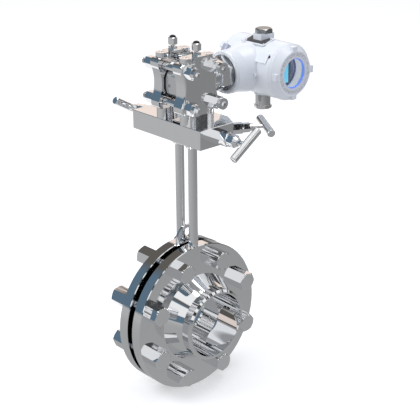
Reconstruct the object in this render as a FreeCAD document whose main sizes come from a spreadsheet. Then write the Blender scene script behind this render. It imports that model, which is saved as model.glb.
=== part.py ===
import FreeCAD, Part
import os

import Sketcher

from FreeCAD import Placement, Rotation, Vector

os.makedirs("parts", exist_ok=True)

doc = FreeCAD.newDocument("orifice_plate_meter")
sheet = doc.addObject("Spreadsheet::Sheet", "Sizes")

# The frame: the origin is the middle of the inlet weld end, +X is downstream along
# the pipe axis and +Z points up to the transmitter. All lengths are millimetres.
SIZES = {
    # weld neck flange pair
    "flange_od": 238.0,
    "flange_rim": 18.3,
    "face_od": 158.0,
    "face_rise": 1.4,
    "hub_od": 141.0,
    "pipe_od": 114.3,
    "pipe_bore": 102.3,
    "weld_end": 62.0,
    "hub_len": 27.0,
    "weld_land": 2.4,
    "weld_bevel": 2.6,
    "rim_break": 1.0,
    # orifice plate and its gaskets
    "plate_thick": 4.0,
    "plate_gap": 3.0,
    "orifice_bore": 61.4,
    "orifice_edge": 1.6,
    "orifice_bevel": 2.4,
    "tab_width": 43.0,
    "tab_eye_z": 136.0,
    "tab_eye_bore": 15.0,
    "tab_centre_z": 127.0,
    "gasket_thick": 2.0,
    # flange bolting
    "bolt_circle": 192.0,
    "bolt_count": 8,
    "bolt_hole": 18.0,
    "bolt_shank": 16.0,
    "bolt_hex": 27.0,
    "bolt_head": 20.0,
    "bolt_tail": 17.0,
    "nut_height": 24.0,
    "thread_gap": 0.05,
    # impulse tubes
    "tube_od": 14.2,
    "tube_bore": 9.0,
    "tube_stop": 3.0,
    "tap_socket": 10.0,
    "tap_bore": 6.0,
    "fit_gap": 0.05,
    "collar_od": 22.8,
    "collar_height": 13.0,
    "collar_break": 3.0,
    "nipple_od": 17.0,
    "nipple_len": 9.0,
    # manifold block
    "block_low": 289.0,
    "block_tall": 29.2,
    "block_inlet_end": 86.0,
    "block_outlet_end": 65.0,
    "block_front": 30.0,
    "block_back": 50.0,
    "cut_x": 26.6,
    "cut_y": 14.4,
    "block_break": 0.6,
    "port_bore": 9.0,
    # valves
    "valve_y": 6.0,
    "valve_z": 303.6,
    "valve_seat_x": 21.5,
    "bonnet_hex": 19.6,
    "bonnet_len": 23.0,
    "spigot_od": 16.0,
    "spigot_len": 14.0,
    "nut_hex": 17.0,
    "nut_len": 13.0,
    "nut_cone": 5.0,
    "nut_nose": 11.0,
    "needle_od": 8.0,
    "needle_tip": 2.6,
    "needle_cone": 9.0,
    "stem_od": 8.0,
    "stem_root": 8.0,
    "stem_peg": 5.0,
    "peg_deep": 6.0,
    "bar_reach": 55.5,
    "bar_od": 12.0,
    "bar_len": 60.0,
    "bar_break": 1.0,
    "eq_hex": 15.4,
    "eq_nut_hex": 13.0,
    "eq_reach": 53.5,
    "seat_bore": 4.2,
    "seat_reach": 2.0,
    "eq_bonnet_len": 18.0,
    "eq_nut_len": 11.0,
    "eq_needle_od": 6.0,
    "eq_seat": 28.0,
    "eq_seat_bore": 4.0,
    "eq_run": 12.0,
    "run_gap": 0.05,
    "tilt_inlet": 30.0,
    "tilt_outlet": 34.0,
    "tilt_equal": 6.0,
    # measuring cell: two process flanges round the sensor module
    "port_x": 25.65,
    "cell_z": 372.0,
    "plate_half": 10.0,
    "plate_low": 334.5,
    "plate_high": 409.5,
    "plate_side": 37.0,
    "waist_side": 30.5,
    "waist_half": 26.0,
    "plate_corner": 6.5,
    "plate_round": 3.5,
    "lug_y": 20.65,
    "lug_od": 19.0,
    "lug_web": 9.0,
    "port_top": 416.6,
    "port_half": 11.5,
    "lug_tap": 9.5,
    "lug_tap_deep": 13.0,
    "cell_bolt_y": 25.3,
    "cell_bolt_z": 26.3,
    "cell_bolt_od": 10.0,
    "cell_hole": 11.0,
    "cell_hex": 17.0,
    "cell_head": 14.0,
    "cell_end": 6.0,
    "cell_socket": 8.0,
    "cell_socket_deep": 6.0,
    "cell_nut": 16.0,
    "cell_tail": 8.5,
    "module_od": 56.0,
    "module_half": 13.2,
    "module_flat": 25.0,
    "module_break": 2.0,
    "seal_od": 58.0,
    "seal_bore": 46.0,
    "foot_bolt_od": 10.0,
    "foot_head_od": 16.0,
    "foot_head": 10.0,
    "foot_reach": 12.0,
    "port_seal_od": 17.0,
    "port_seal_thick": 1.6,
    # vents
    "vent_hex": 12.0,
    "vent_hex_tall": 5.0,
    "vent_thread": 11.0,
    "vent_deep": 10.0,
    "vent_bore": 5.0,
    "vent_neck": 6.0,
    "vent_neck_tall": 5.0,
    "vent_cap": 12.4,
    "vent_cap_tall": 13.5,
    "vent_peg": 6.0,
    "vent_reach": 12.0,
    # neck
    "neck_od": 26.0,
    "collar_y": 40.0,
    "neck_collar_od": 42.0,
    "neck_collar_len": 14.0,
    "spindle_od": 30.0,
    "spindle_end_y": 104.0,
    "swivel_hex": 46.0,
    "swivel_len": 26.0,
    # transmitter housing
    "case_y": 154.0,
    "case_z": 370.5,
    "case_od": 86.0,
    "hub_face_y": 76.0,
    "hub_ring_od": 63.0,
    "hub_bell_od": 66.0,
    "hub_step": 4.0,
    "hub_plain": 21.0,
    "hub_flare": 4.0,
    "hub_flare_len": 22.0,
    "hub_socket_deep": 8.0,
    "hub_socket_od": 55.0,
    "case_front": 60.0,
    "case_back": 42.0,
    "mouth_bore": 74.0,
    "mouth_deep": 40.0,
    "rear_mouth_deep": 24.0,
    "boss_x": 8.0,
    "boss_hex": 28.5,
    "boss_od": 28.0,
    "boss_rise": 8.3,
    "boss_drop": 0.5,
    "conduit_bore": 20.0,
    "conduit_deep": 17.0,
    "name_turn": 16.0,
    "name_x": -20.0,
    "name_len": 50.0,
    "name_half": 10.0,
    "name_rise": 0.8,
    "name_edge": 2.5,
    "name_deep": 0.8,
    "lock_turn": 56.0,
    "lock_x": 30.0,
    "lock_len": 22.0,
    "lock_half": 8.0,
    "lock_rise": 1.5,
    "earth_x": 34.0,
    "earth_drop": 1.5,
    "earth_od": 8.0,
    "earth_tall": 5.0,
    # covers
    "cover_len": 14.0,
    "cover_face_od": 68.0,
    "cover_spigot": 10.0,
    "window_bore": 46.0,
    "window_glass": 54.0,
    "window_thick": 6.0,
    "face_wall": 4.0,
    "cover_lug_od": 81.0,
    "cover_lug_wide": 10.0,
    "rear_len": 15.0,
    "ring_od": 70.0,
    "ring_thick": 2.6,
    # display
    "dial_od": 52.0,
    "dial_thick": 12.0,
    "dial_gap": 8.0,
    "screen_w": 36.0,
    "screen_h": 24.0,
    "screen_thick": 1.2,
    # conduit plug and gland
    "plug_hex": 23.5,
    "plug_tall": 7.3,
    "gland_od": 23.5,
    "gland_tall": 17.5,
    "gland_hex": 24.5,
    "gland_hex_tall": 6.0,
    "gland_bore": 12.0,
}

for row, (alias, value) in enumerate(SIZES.items(), start=1):
    sheet.set("A%d" % row, alias)
    sheet.set("B%d" % row, repr(value))
    sheet.setAlias("B%d" % row, alias)
doc.recompute()

# Directions for a piece that is drawn with its own axis along local Z.
ALONG_X = Rotation(Vector(0, 0, 1), Vector(0, -1, 0), Vector(1, 0, 0), "XYZ")
AGAINST_X = Rotation(Vector(0, 0, 1), Vector(0, 1, 0), Vector(-1, 0, 0), "XYZ")
ALONG_Y = Rotation(Vector(1, 0, 0), Vector(0, 0, -1), Vector(0, 1, 0), "XYZ")
UP = Rotation()
DOWN = Rotation(Vector(1, 0, 0), 180)
HALF_TURN = Rotation(Vector(0, 0, 1), 180)

FUNCTIONS = ("sqrt", "sin", "cos", "tan", "atan2")
NODES = []


def sized(text):
    """Write a size expression for a property: each plain word becomes a sheet cell."""
    out = ""
    word = ""
    for char in str(text) + " ":
        if char.isalnum() or char in "_.":
            word += char
            continue
        if word and word[0].isalpha() and word not in FUNCTIONS:
            word = "Sizes." + word
        out += word + char
        word = ""
    return out.strip()


def value(alias):
    """Number held by one cell of the sheet."""
    return float(sheet.get(alias))


def new_body(label, rotation=UP, x="0", y="0", z="0"):
    """Start a piece whose local frame is turned by rotation and moved to x, y, z."""
    body = doc.addObject("PartDesign::Body", label)
    body.Label = label
    body.Placement = Placement(Vector(), rotation)
    body.setExpression("Placement.Base.x", sized(x))
    body.setExpression("Placement.Base.y", sized(y))
    body.setExpression("Placement.Base.z", sized(z))
    NODES.append(body)
    return body


def origin_item(body, role):
    """Plane or axis of the body's own origin."""
    return [item for item in body.Origin.OriginFeatures if item.Role == role][0]


def new_sketch(body, plane, offset):
    """Sketch on one of the body's origin planes, lifted by offset along its normal."""
    sketch = body.newObject("Sketcher::SketchObject", body.Label + "_sketch")
    sketch.AttachmentSupport = [(origin_item(body, plane), "")]
    sketch.MapMode = "FlatFace"
    if str(offset) != "0":
        sketch.setExpression("AttachmentOffset.Base.z", sized(offset))
    return sketch


def pin_point(sketch, edge, end, x, y):
    """Tie one end of an edge, or a circle's centre, to two size expressions."""
    index = sketch.addConstraint(Sketcher.Constraint("DistanceX", -1, 1, edge, end, 1.0))
    sketch.setExpression("Constraints[%d]" % index, sized(x))
    index = sketch.addConstraint(Sketcher.Constraint("DistanceY", -1, 1, edge, end, 1.0))
    sketch.setExpression("Constraints[%d]" % index, sized(y))


def outline(body, plane, points, offset="0", axis=None):
    """Closed outline through points; axis adds a construction line to turn about."""
    sketch = new_sketch(body, plane, offset)
    count = len(points)
    first = 0
    if axis:
        sketch.addGeometry(Part.LineSegment(Vector(0, 0, 0), Vector(0, 30, 0)), True)
        pin_point(sketch, 0, 1, axis[0][0], axis[0][1])
        pin_point(sketch, 0, 2, axis[1][0], axis[1][1])
        first = 1
    for index in range(count):
        start = Rotation(Vector(0, 0, 1), 360.0 * index / count).multVec(Vector(20, 0, 0))
        stop = Rotation(Vector(0, 0, 1), 360.0 * (index + 1) / count).multVec(Vector(20, 0, 0))
        sketch.addGeometry(Part.LineSegment(start, stop), False)
    for index in range(count):
        following = (index + 1) % count
        sketch.addConstraint(Sketcher.Constraint("Coincident", first + index, 2, first + following, 1))
    for index, (x, y) in enumerate(points):
        pin_point(sketch, first + index, 1, x, y)
    return sketch


def circles(body, plane, rounds, offset="0"):
    """Sketch of whole circles given as (x, y, diameter)."""
    sketch = new_sketch(body, plane, offset)
    for index, (x, y, diameter) in enumerate(rounds):
        sketch.addGeometry(Part.Circle(Vector(9.0 * index, 0, 0), Vector(0, 0, 1), 2.0), False)
        pin_point(sketch, index, 3, x, y)
        limit = sketch.addConstraint(Sketcher.Constraint("Diameter", index, 3.0))
        sketch.setExpression("Constraints[%d]" % limit, sized(diameter))
    return sketch


def box_points(x0, y0, x1, y1):
    """Corners of a rectangle."""
    return [(x0, y0), (x1, y0), (x1, y1), (x0, y1)]


def hex_points(across, x="0", y="0", turn=30):
    """Corners of a hexagon given by its width across flats."""
    points = []
    for index in range(6):
        angle = turn + 60 * index
        points.append((
            "%s+%s/2/cos(30)*cos(%s)" % (x, across, angle),
            "%s+%s/2/cos(30)*sin(%s)" % (y, across, angle),
        ))
    return points


def tangent_box(low, high, half, turned):
    """Rectangle lying across a radius that is turned from local X toward local Y."""
    points = []
    for reach, side in ((low, "-" + half), (high, "-" + half), (high, half), (low, half)):
        points.append((
            "(%s)*cos(%s)-(%s)*sin(%s)" % (reach, turned, side, turned),
            "(%s)*sin(%s)+(%s)*cos(%s)" % (reach, turned, side, turned),
        ))
    return points


def feature(body, kind, sketch):
    """Add a sketch based feature to the body."""
    made = body.newObject("PartDesign::" + kind, body.Label + "_" + kind.lower())
    made.Profile = sketch
    return made


def pad(body, sketch, length, backward=False):
    """Extrude along the sketch's normal, or against it."""
    made = feature(body, "Pad", sketch)
    made.Reversed = backward
    made.setExpression("Length", sized(length))
    doc.recompute()
    return made


def pocket(body, sketch, length, forward=False):
    """Cut against the sketch's normal, or along it with forward."""
    before = body.Shape.Volume
    made = feature(body, "Pocket", sketch)
    made.Reversed = forward
    made.setExpression("Length", sized(length))
    doc.recompute()
    if body.Shape.Volume > before - 1e-6:
        raise RuntimeError("a pocket cut nothing in " + body.Label)
    return made


def turn(body, points, plane="XZ_Plane", offset="0", axis=None):
    """Revolve an outline about local Z, or about a given line of its sketch."""
    sketch = outline(body, plane, points, offset, axis)
    made = feature(body, "Revolution", sketch)
    made.ReferenceAxis = (sketch, ["Axis0"]) if axis else (sketch, ["V_Axis"])
    made.Angle = 360
    doc.recompute()
    return made


def groove(body, points, plane="XZ_Plane", offset="0", axis=None):
    """Cut the revolved outline away."""
    before = body.Shape.Volume
    sketch = outline(body, plane, points, offset, axis)
    made = feature(body, "Groove", sketch)
    made.ReferenceAxis = (sketch, ["Axis0"]) if axis else (sketch, ["V_Axis"])
    made.Angle = 360
    doc.recompute()
    if body.Shape.Volume > before - 1e-6:
        raise RuntimeError("a groove cut nothing in " + body.Label)
    return made


def corner_cut(body, across, top, x="0", y="0", down=True):
    """Turn the corners of a hexagon down at its end, as on every nut and bolt head."""
    side = "-" if down else "+"
    inner = "%s+%s*0.47" % (x, across)
    outer = "%s+%s*0.62" % (x, across)
    foot = "%s%s%s*0.15*tan(32)" % (top, side, across)
    axis = ((x, "0"), (x, "100"))
    return groove(body, [(inner, top), (outer, top), (outer, foot)], offset="-1*(%s)" % y, axis=axis)


def pattern(body, features, count):
    """Repeat features round local Z."""
    made = body.newObject("PartDesign::PolarPattern", body.Label + "_pattern")
    made.Originals = features
    made.Axis = (origin_item(body, "Z_Axis"), [""])
    made.Angle = 360
    made.setExpression("Occurrences", sized(count))
    body.Tip = made
    doc.recompute()
    return made


def dress(body, kind, size, wanted):
    """Fillet or chamfer the edges of the body for which wanted(edge) is true."""
    base = body.Tip
    names = []
    for index, edge in enumerate(base.Shape.Edges, start=1):
        if wanted(edge):
            names.append("Edge%d" % index)
    if not names:
        raise RuntimeError("no edge to dress in " + body.Label)
    made = body.newObject("PartDesign::" + kind, body.Label + "_" + kind.lower())
    made.Base = (base, names)
    made.setExpression("Radius" if kind == "Fillet" else "Size", sized(size))
    doc.recompute()
    return made


# Distances along the pipe, all from the middle of the orifice plate.
MID = "(weld_end+gasket_thick+plate_thick/2)"
MATE = "(gasket_thick+plate_thick/2)"
RIM_OUT = "(gasket_thick+plate_thick/2+face_rise+flange_rim)"
TAP_X = "(gasket_thick+plate_thick/2+face_rise+flange_rim/2)"
BLOCK_TOP = "(block_low+block_tall)"
# The plate sits inside the bolts, and the conduit bosses stand on the case.
PLATE_R = "((bolt_circle-bolt_shank)/2-plate_gap)"
BOSS_TOP = "(case_od/2+boss_rise)"
BOSS_LOW = "(case_od/2+boss_drop)"


def weld_neck_flange(label, rotation, side):
    """Flange of one side: raised face, rim with bolt holes, hub, neck and pressure tap."""
    body = new_body(label, rotation, "%s%s%s" % (MID, side, MATE))
    turn(body, [
        ("pipe_bore/2", "0"),
        ("face_od/2", "0"),
        ("face_od/2", "face_rise"),
        ("flange_od/2-rim_break", "face_rise"),
        ("flange_od/2", "face_rise+rim_break"),
        ("flange_od/2", "face_rise+flange_rim-rim_break"),
        ("flange_od/2-rim_break", "face_rise+flange_rim"),
        ("hub_od/2", "face_rise+flange_rim"),
        ("pipe_od/2", "face_rise+flange_rim+hub_len"),
        ("pipe_od/2", "weld_end-weld_bevel"),
        ("pipe_bore/2+weld_land", "weld_end"),
        ("pipe_bore/2", "weld_end"),
    ], plane="YZ_Plane")
    holes = circles(body, "XY_Plane", [(
        "bolt_circle/2*cos(180/bolt_count)",
        "bolt_circle/2*sin(180/bolt_count)",
        "bolt_hole",
    )])
    first = pocket(body, holes, "face_rise+flange_rim+1", forward=True)
    pattern(body, [first], "bolt_count")
    socket = circles(body, "YZ_Plane", [("0", "face_rise+flange_rim/2", "tube_od+2*fit_gap")], "flange_od/2+1")
    pocket(body, socket, "tap_socket+1")
    tap = circles(body, "YZ_Plane", [("0", "face_rise+flange_rim/2", "tap_bore")], "flange_od/2+1")
    pocket(body, tap, "flange_od/2-pipe_bore/2+3")


def orifice_plate():
    """Square edged orifice plate with its paddle handle standing out of the flanges."""
    body = new_body("orifice_plate", ALONG_X, MID)
    turn(body, [
        ("orifice_bore/2", "-plate_thick/2"),
        (PLATE_R, "-plate_thick/2"),
        (PLATE_R, "plate_thick/2"),
        ("orifice_bore/2+orifice_bevel", "plate_thick/2"),
        ("orifice_bore/2", "orifice_edge-plate_thick/2"),
    ])
    strap = outline(body, "XY_Plane", box_points(
        PLATE_R + "-15", "-tab_width/2", "tab_centre_z", "tab_width/2"), "-plate_thick/2")
    pad(body, strap, "plate_thick")
    head = circles(body, "XY_Plane", [("tab_centre_z", "0", "tab_width")], "-plate_thick/2")
    pad(body, head, "plate_thick")
    eye = circles(body, "XY_Plane", [("tab_eye_z", "0", "tab_eye_bore")], "-plate_thick/2")
    pocket(body, eye, "plate_thick+1", forward=True)


def gasket(label, x):
    """Flat ring between a raised face and the orifice plate."""
    body = new_body(label, ALONG_X, x)
    turn(body, box_points("pipe_bore/2", "0", "face_od/2", "gasket_thick"))


def flange_fasteners():
    """Eight long headed bolts and their nuts, straddling the vertical."""
    straddle = Rotation(Vector(0, 0, 1), 180.0 / value("bolt_count"))
    place = ALONG_X.multiply(straddle)
    bolts = new_body("flange_bolts", place, MID + "+" + RIM_OUT)
    head = pad(bolts, outline(bolts, "XY_Plane", hex_points("bolt_hex", "bolt_circle/2")), "bolt_head")
    shank = pad(
        bolts,
        circles(bolts, "XY_Plane", [("bolt_circle/2", "0", "bolt_shank")]),
        "2*" + RIM_OUT + "+nut_height+bolt_tail",
        backward=True,
    )
    crown = corner_cut(bolts, "bolt_hex", "bolt_head", "bolt_circle/2")
    pattern(bolts, [head, shank, crown], "bolt_count")

    nuts = new_body("flange_nuts", place, MID + "-" + RIM_OUT)
    nut = pad(
        nuts,
        outline(nuts, "XY_Plane", hex_points("bolt_hex", "bolt_circle/2")),
        "nut_height",
        backward=True,
    )
    bore = pocket(
        nuts,
        circles(nuts, "XY_Plane", [("bolt_circle/2", "0", "bolt_shank+2*thread_gap")]),
        "nut_height+1",
    )
    rear = corner_cut(nuts, "bolt_hex", "-nut_height", "bolt_circle/2", down=False)
    pattern(nuts, [nut, bore, rear], "bolt_count")


def impulse_line(side_name, side):
    """Impulse tube from the flange tap up to its socket fitting under the manifold."""
    x = MID + side + TAP_X
    tube = new_body(side_name + "_impulse_tube", UP, x, "0", "flange_od/2-tap_socket")
    turn(tube, box_points(
        "tube_bore/2", "0", "tube_od/2", "block_low-tube_stop-flange_od/2+tap_socket"))
    fitting = new_body(side_name + "_tube_fitting", UP, x, "0", "block_low-collar_height")
    turn(fitting, [
        ("tube_od/2+fit_gap", "0"),
        ("collar_od/2-collar_break*0.7", "0"),
        ("collar_od/2", "collar_break"),
        ("collar_od/2", "collar_height"),
        ("nipple_od/2", "collar_height"),
        ("nipple_od/2", "collar_height+nipple_len"),
        ("tube_bore/2", "collar_height+nipple_len"),
        ("tube_bore/2", "collar_height-tube_stop"),
        ("tube_od/2+fit_gap", "collar_height-tube_stop"),
    ])


CUT_LEN = "sqrt(cut_x*cut_x+cut_y*cut_y)"
EQ_X = "(block_outlet_end-cut_x/2)"
EQ_Y = "(block_back-cut_y/2)"
EQ_DX = "(cut_y/%s)" % CUT_LEN
EQ_DY = "(cut_x/%s)" % CUT_LEN


def bore_along(body, start, direction, steps, height):
    """Stepped bore in a level plane: steps are (distance inward, radius) pairs."""
    (x, y) = start
    (dx, dy) = direction
    points = []
    for depth, radius in steps:
        points.append((
            "%s-(%s)*(%s)-(%s)*(%s)" % (x, dx, depth, dy, radius),
            "%s-(%s)*(%s)+(%s)*(%s)" % (y, dy, depth, dx, radius),
        ))
    axis = ((x, y), ("%s-(%s)*20" % (x, dx), "%s-(%s)*20" % (y, dy)))
    groove(body, points, "XY_Plane", height, axis)


def manifold_block():
    """Solid bar of the three valve manifold with its ports, valve bores and bolt holes."""
    body = new_body("manifold_block", UP, MID, "0", "block_low")
    pad(body, outline(body, "XY_Plane", [
        ("-block_inlet_end", "-block_front"),
        ("block_outlet_end", "-block_front"),
        ("block_outlet_end", "block_back-cut_y"),
        ("block_outlet_end-cut_x", "block_back"),
        ("-block_inlet_end", "block_back"),
    ]), "block_tall")
    dress(body, "Chamfer", "block_break", lambda edge: True)
    height = "valve_z-block_low"
    for side in ("-", ""):
        nipple = circles(body, "XY_Plane", [(side + TAP_X, "0", "nipple_od+2*thread_gap")])
        pocket(body, nipple, "nipple_len+0.5", forward=True)
        riser = circles(body, "XY_Plane", [(side + TAP_X, "0", "port_bore")])
        pocket(body, riser, height, forward=True)
        seat = circles(body, "XY_Plane", [(side + "port_x", "0", "port_seal_od+2*fit_gap")], "block_tall")
        pocket(body, seat, "port_seal_thick")
        outlet = circles(body, "XY_Plane", [(side + "port_x", "0", "port_bore")], "block_tall")
        pocket(body, outlet, "block_tall-(%s)" % height)
        for back in ("-", ""):
            hole = circles(body, "XY_Plane", [(side + "port_x", back + "lug_y", "foot_bolt_od+1")])
            pocket(body, hole, "block_tall+1", forward=True)
            bore = circles(body, "XY_Plane", [(side + "port_x", back + "lug_y", "foot_head_od+1")])
            pocket(body, bore, "foot_head+1", forward=True)
    for sign, end in (("-1", "block_inlet_end"), ("1", "block_outlet_end")):
        bore_along(body, ("%s*%s" % (sign, end), "valve_y"), (sign, "0"), [
            ("-1", "0"),
            ("-1", "spigot_od/2+thread_gap"),
            ("spigot_len+0.5", "spigot_od/2+thread_gap"),
            ("spigot_len+0.5", "needle_od/2+run_gap"),
            ("%s-valve_seat_x" % end, "needle_od/2+run_gap"),
            ("%s-valve_seat_x" % end, "seat_bore/2"),
            ("%s-%s+1" % (end, TAP_X), "seat_bore/2"),
            ("%s-%s+1" % (end, TAP_X), "0"),
        ], height)
    bore_along(body, (EQ_X, EQ_Y), (EQ_DX, EQ_DY), [
        ("-1", "0"),
        ("-1", "spigot_od/2+thread_gap"),
        ("spigot_len+0.5", "spigot_od/2+thread_gap"),
        ("spigot_len+0.5", "eq_needle_od/2+run_gap"),
        ("eq_seat", "eq_needle_od/2+run_gap"),
        ("eq_seat", "eq_seat_bore/2"),
        ("eq_seat+eq_run", "eq_seat_bore/2"),
        ("eq_seat+eq_run", "0"),
    ], height)


def needle_valve(name, rotation, x, y, tilt, widths, depth):
    """Needle valve: bonnet, gland nut, needle, turning stem and its cross bar.

    widths holds (bonnet hexagon, bonnet length, nut hexagon, nut length, needle, reach)
    and depth is how far the seat lies inside the block.
    """
    (hexagon, bonnet_len, nut_hexagon, nut_len, needle_od, reach) = widths
    place = (rotation, x, y, "valve_z")
    bonnet = new_body(name + "_bonnet", *place)
    pad(bonnet, outline(bonnet, "XY_Plane", hex_points(hexagon)), bonnet_len)
    corner_cut(bonnet, hexagon, bonnet_len)
    pad(bonnet, circles(bonnet, "XY_Plane", [("0", "0", "spigot_od")]), "spigot_len", backward=True)
    bore = circles(bonnet, "XY_Plane", [("0", "0", "%s+2*run_gap" % needle_od)], "-spigot_len-1")
    pocket(bonnet, bore, "spigot_len+%s+2" % bonnet_len, forward=True)

    nut = new_body(name + "_gland_nut", *place)
    pad(nut, outline(nut, "XY_Plane", hex_points(nut_hexagon), bonnet_len), nut_len)
    corner_cut(nut, nut_hexagon, "%s+%s" % (bonnet_len, nut_len))
    turn(nut, [
        ("0", "%s+%s-1" % (bonnet_len, nut_len)),
        ("%s*0.46" % nut_hexagon, "%s+%s-1" % (bonnet_len, nut_len)),
        ("%s*0.46" % nut_hexagon, "%s+%s" % (bonnet_len, nut_len)),
        ("nut_nose/2", "%s+%s+nut_cone" % (bonnet_len, nut_len)),
        ("0", "%s+%s+nut_cone" % (bonnet_len, nut_len)),
    ])
    bore = circles(nut, "XY_Plane", [("0", "0", "%s+2*run_gap" % needle_od)], "%s-1" % bonnet_len)
    pocket(nut, bore, "%s+nut_cone+3" % nut_len, forward=True)

    needle = new_body(name + "_needle", *place)
    turn(needle, [
        ("0", "-stem_root"),
        ("%s/2" % needle_od, "-stem_root"),
        ("%s/2" % needle_od, "needle_cone-(%s)" % depth),
        ("needle_tip/2", "-seat_reach-(%s)" % depth),
        ("0", "-seat_reach-(%s)" % depth),
    ])

    stem = new_body(name + "_stem", *place)
    turn(stem, [
        ("0", "-stem_root"),
        ("%s/2" % needle_od, "-stem_root"),
        ("%s/2" % needle_od, "%s-bar_od/2" % reach),
        ("stem_peg/2", "%s-bar_od/2" % reach),
        ("stem_peg/2", "%s-bar_od/2+peg_deep" % reach),
        ("0", "%s-bar_od/2+peg_deep" % reach),
    ])

    bar = new_body(name + "_cross_bar", rotation.multiply(Rotation(Vector(0, 0, 1), tilt)), x, y, "valve_z")
    turn(bar, [
        ("-bar_len/2", reach),
        ("bar_len/2", reach),
        ("bar_len/2", "%s+bar_od/2-bar_break" % reach),
        ("bar_len/2-bar_break", "%s+bar_od/2" % reach),
        ("bar_break-bar_len/2", "%s+bar_od/2" % reach),
        ("-bar_len/2", "%s+bar_od/2-bar_break" % reach),
    ], axis=(("-bar_len/2", reach), ("bar_len/2", reach)))
    socket = circles(bar, "XY_Plane", [("0", "0", "stem_peg+2*fit_gap")], "%s-bar_od/2-1" % reach)
    pocket(bar, socket, "peg_deep+1", forward=True)


def valves():
    """Two isolating valves along the pipe and the equalising valve on the cut corner."""
    isolating = ("bonnet_hex", "bonnet_len", "nut_hex", "nut_len", "needle_od", "bar_reach")
    needle_valve("inlet_valve", AGAINST_X, MID + "-block_inlet_end", "valve_y",
                 value("tilt_inlet") - 90, isolating, "block_inlet_end-valve_seat_x")
    needle_valve("outlet_valve", ALONG_X, MID + "+block_outlet_end", "valve_y",
                 value("tilt_outlet") + 90, isolating, "block_outlet_end-valve_seat_x")
    equal = ("eq_hex", "eq_bonnet_len", "eq_nut_hex", "eq_nut_len", "eq_needle_od", "eq_reach")
    outward = Rotation(Vector(1, 0, 0), Vector(value("cut_y"), value("cut_x"), 0))
    needle_valve("equalising_valve", outward.multiply(ALONG_X), MID + "+" + EQ_X, EQ_Y,
                 value("tilt_equal") + 90, equal, "eq_seat")


def process_flange(label, rotation, side):
    """Waisted steel end plate of the measuring cell with port lugs above and below."""
    body = new_body(label, rotation, MID + side + "port_x")
    pad(body, outline(body, "YZ_Plane", box_points(
        "-plate_side", "plate_low", "plate_side", "plate_high"), "-plate_half"), "2*plate_half")
    bulge = "((plate_side-waist_side)*(plate_side-waist_side)+waist_half*waist_half)"
    radius = "(%s/(plate_side-waist_side)/2)" % bulge
    sides = circles(body, "YZ_Plane", [
        ("waist_side+" + radius, "cell_z", "2*" + radius),
        ("-waist_side-" + radius, "cell_z", "2*" + radius),
    ], "-plate_half-1")
    pocket(body, sides, "2*plate_half+2", forward=True)
    dress(body, "Fillet", "plate_corner", lambda edge: (
        edge.Length > 1.9 * value("plate_half")
        and abs(abs(edge.CenterOfMass.y) - value("plate_side")) < 0.01
        and min(abs(edge.CenterOfMass.z - value("plate_low")), abs(edge.CenterOfMass.z - value("plate_high"))) < 0.01
    ))
    dress(body, "Fillet", "plate_round", lambda edge: (
        abs(edge.BoundBox.XMin - edge.BoundBox.XMax) < 0.01
        and edge.CenterOfMass.x > 0
    ))
    tall = "port_top-" + BLOCK_TOP
    lugs = circles(body, "XY_Plane", [("0", "lug_y", "lug_od"), ("0", "-lug_y", "lug_od")], BLOCK_TOP)
    pad(body, lugs, tall)
    pad(body, outline(body, "XY_Plane", box_points("-lug_web/2", "-lug_y", "lug_web/2", "lug_y"), BLOCK_TOP), tall)
    pad(body, outline(body, "XY_Plane", box_points(
        "-plate_half", "-port_half", "plate_half", "port_half"), BLOCK_TOP), tall)
    for back in ("-", ""):
        pocket(body, circles(body, "XY_Plane", [("0", back + "lug_y", "lug_tap")], "port_top"), "lug_tap_deep")
        pocket(body, circles(body, "XY_Plane", [("0", back + "lug_y", "foot_bolt_od+2*thread_gap")], BLOCK_TOP),
               "foot_reach+0.5", forward=True)
        for up in ("-", "+"):
            hole = circles(body, "YZ_Plane", [(
                back + "cell_bolt_y", "cell_z%scell_bolt_z" % up, "cell_hole")], "-plate_half-1")
            pocket(body, hole, "2*plate_half+2", forward=True)
    pocket(body, circles(body, "XY_Plane", [("0", "0", "vent_thread+2*thread_gap")], "port_top"), "vent_deep+0.5")
    pocket(body, circles(body, "XY_Plane", [("0", "0", "vent_bore")], "port_top"), "port_top-cell_z")
    pocket(body, circles(body, "XY_Plane", [("0", "0", "port_bore")], BLOCK_TOP), "cell_z-" + BLOCK_TOP, forward=True)
    pocket(body, circles(body, "YZ_Plane", [("0", "cell_z", "port_bore")], "-plate_half-1"), "plate_half+1", forward=True)


def cell_bolt_spots():
    """The four bolt places of the cell in the frame of a piece drawn along X."""
    return [(up + "cell_bolt_z", back + "cell_bolt_y") for up in ("", "-") for back in ("", "-")]


def cell_fasteners():
    """Four long cell bolts with socketed round ends, and their nuts."""
    face = "(port_x+plate_half)"
    bolts = new_body("cell_bolts", ALONG_X, MID + "+" + face, "0", "cell_z")
    nuts = new_body("cell_nuts", AGAINST_X, MID + "-" + face, "0", "cell_z")
    for up, back in cell_bolt_spots():
        pad(bolts, outline(bolts, "XY_Plane", hex_points("cell_hex", up, back)), "cell_head")
        pad(bolts, circles(bolts, "XY_Plane", [(up, back, "cell_hex")], "cell_head"), "cell_end")
        pad(bolts, circles(bolts, "XY_Plane", [(up, back, "cell_bolt_od")]),
            "2*%s+cell_nut+cell_tail" % face, backward=True)
        pocket(bolts, outline(bolts, "XY_Plane", hex_points("cell_socket", up, back), "cell_head+cell_end"),
               "cell_socket_deep")
        corner_cut(bolts, "cell_hex", "cell_head", up, back)
        pad(nuts, outline(nuts, "XY_Plane", hex_points("cell_hex", up, back)), "cell_nut")
        pocket(nuts, circles(nuts, "XY_Plane", [(up, back, "cell_bolt_od+2*thread_gap")]), "cell_nut+1", forward=True)
        corner_cut(nuts, "cell_hex", "cell_nut", up, back)


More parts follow.
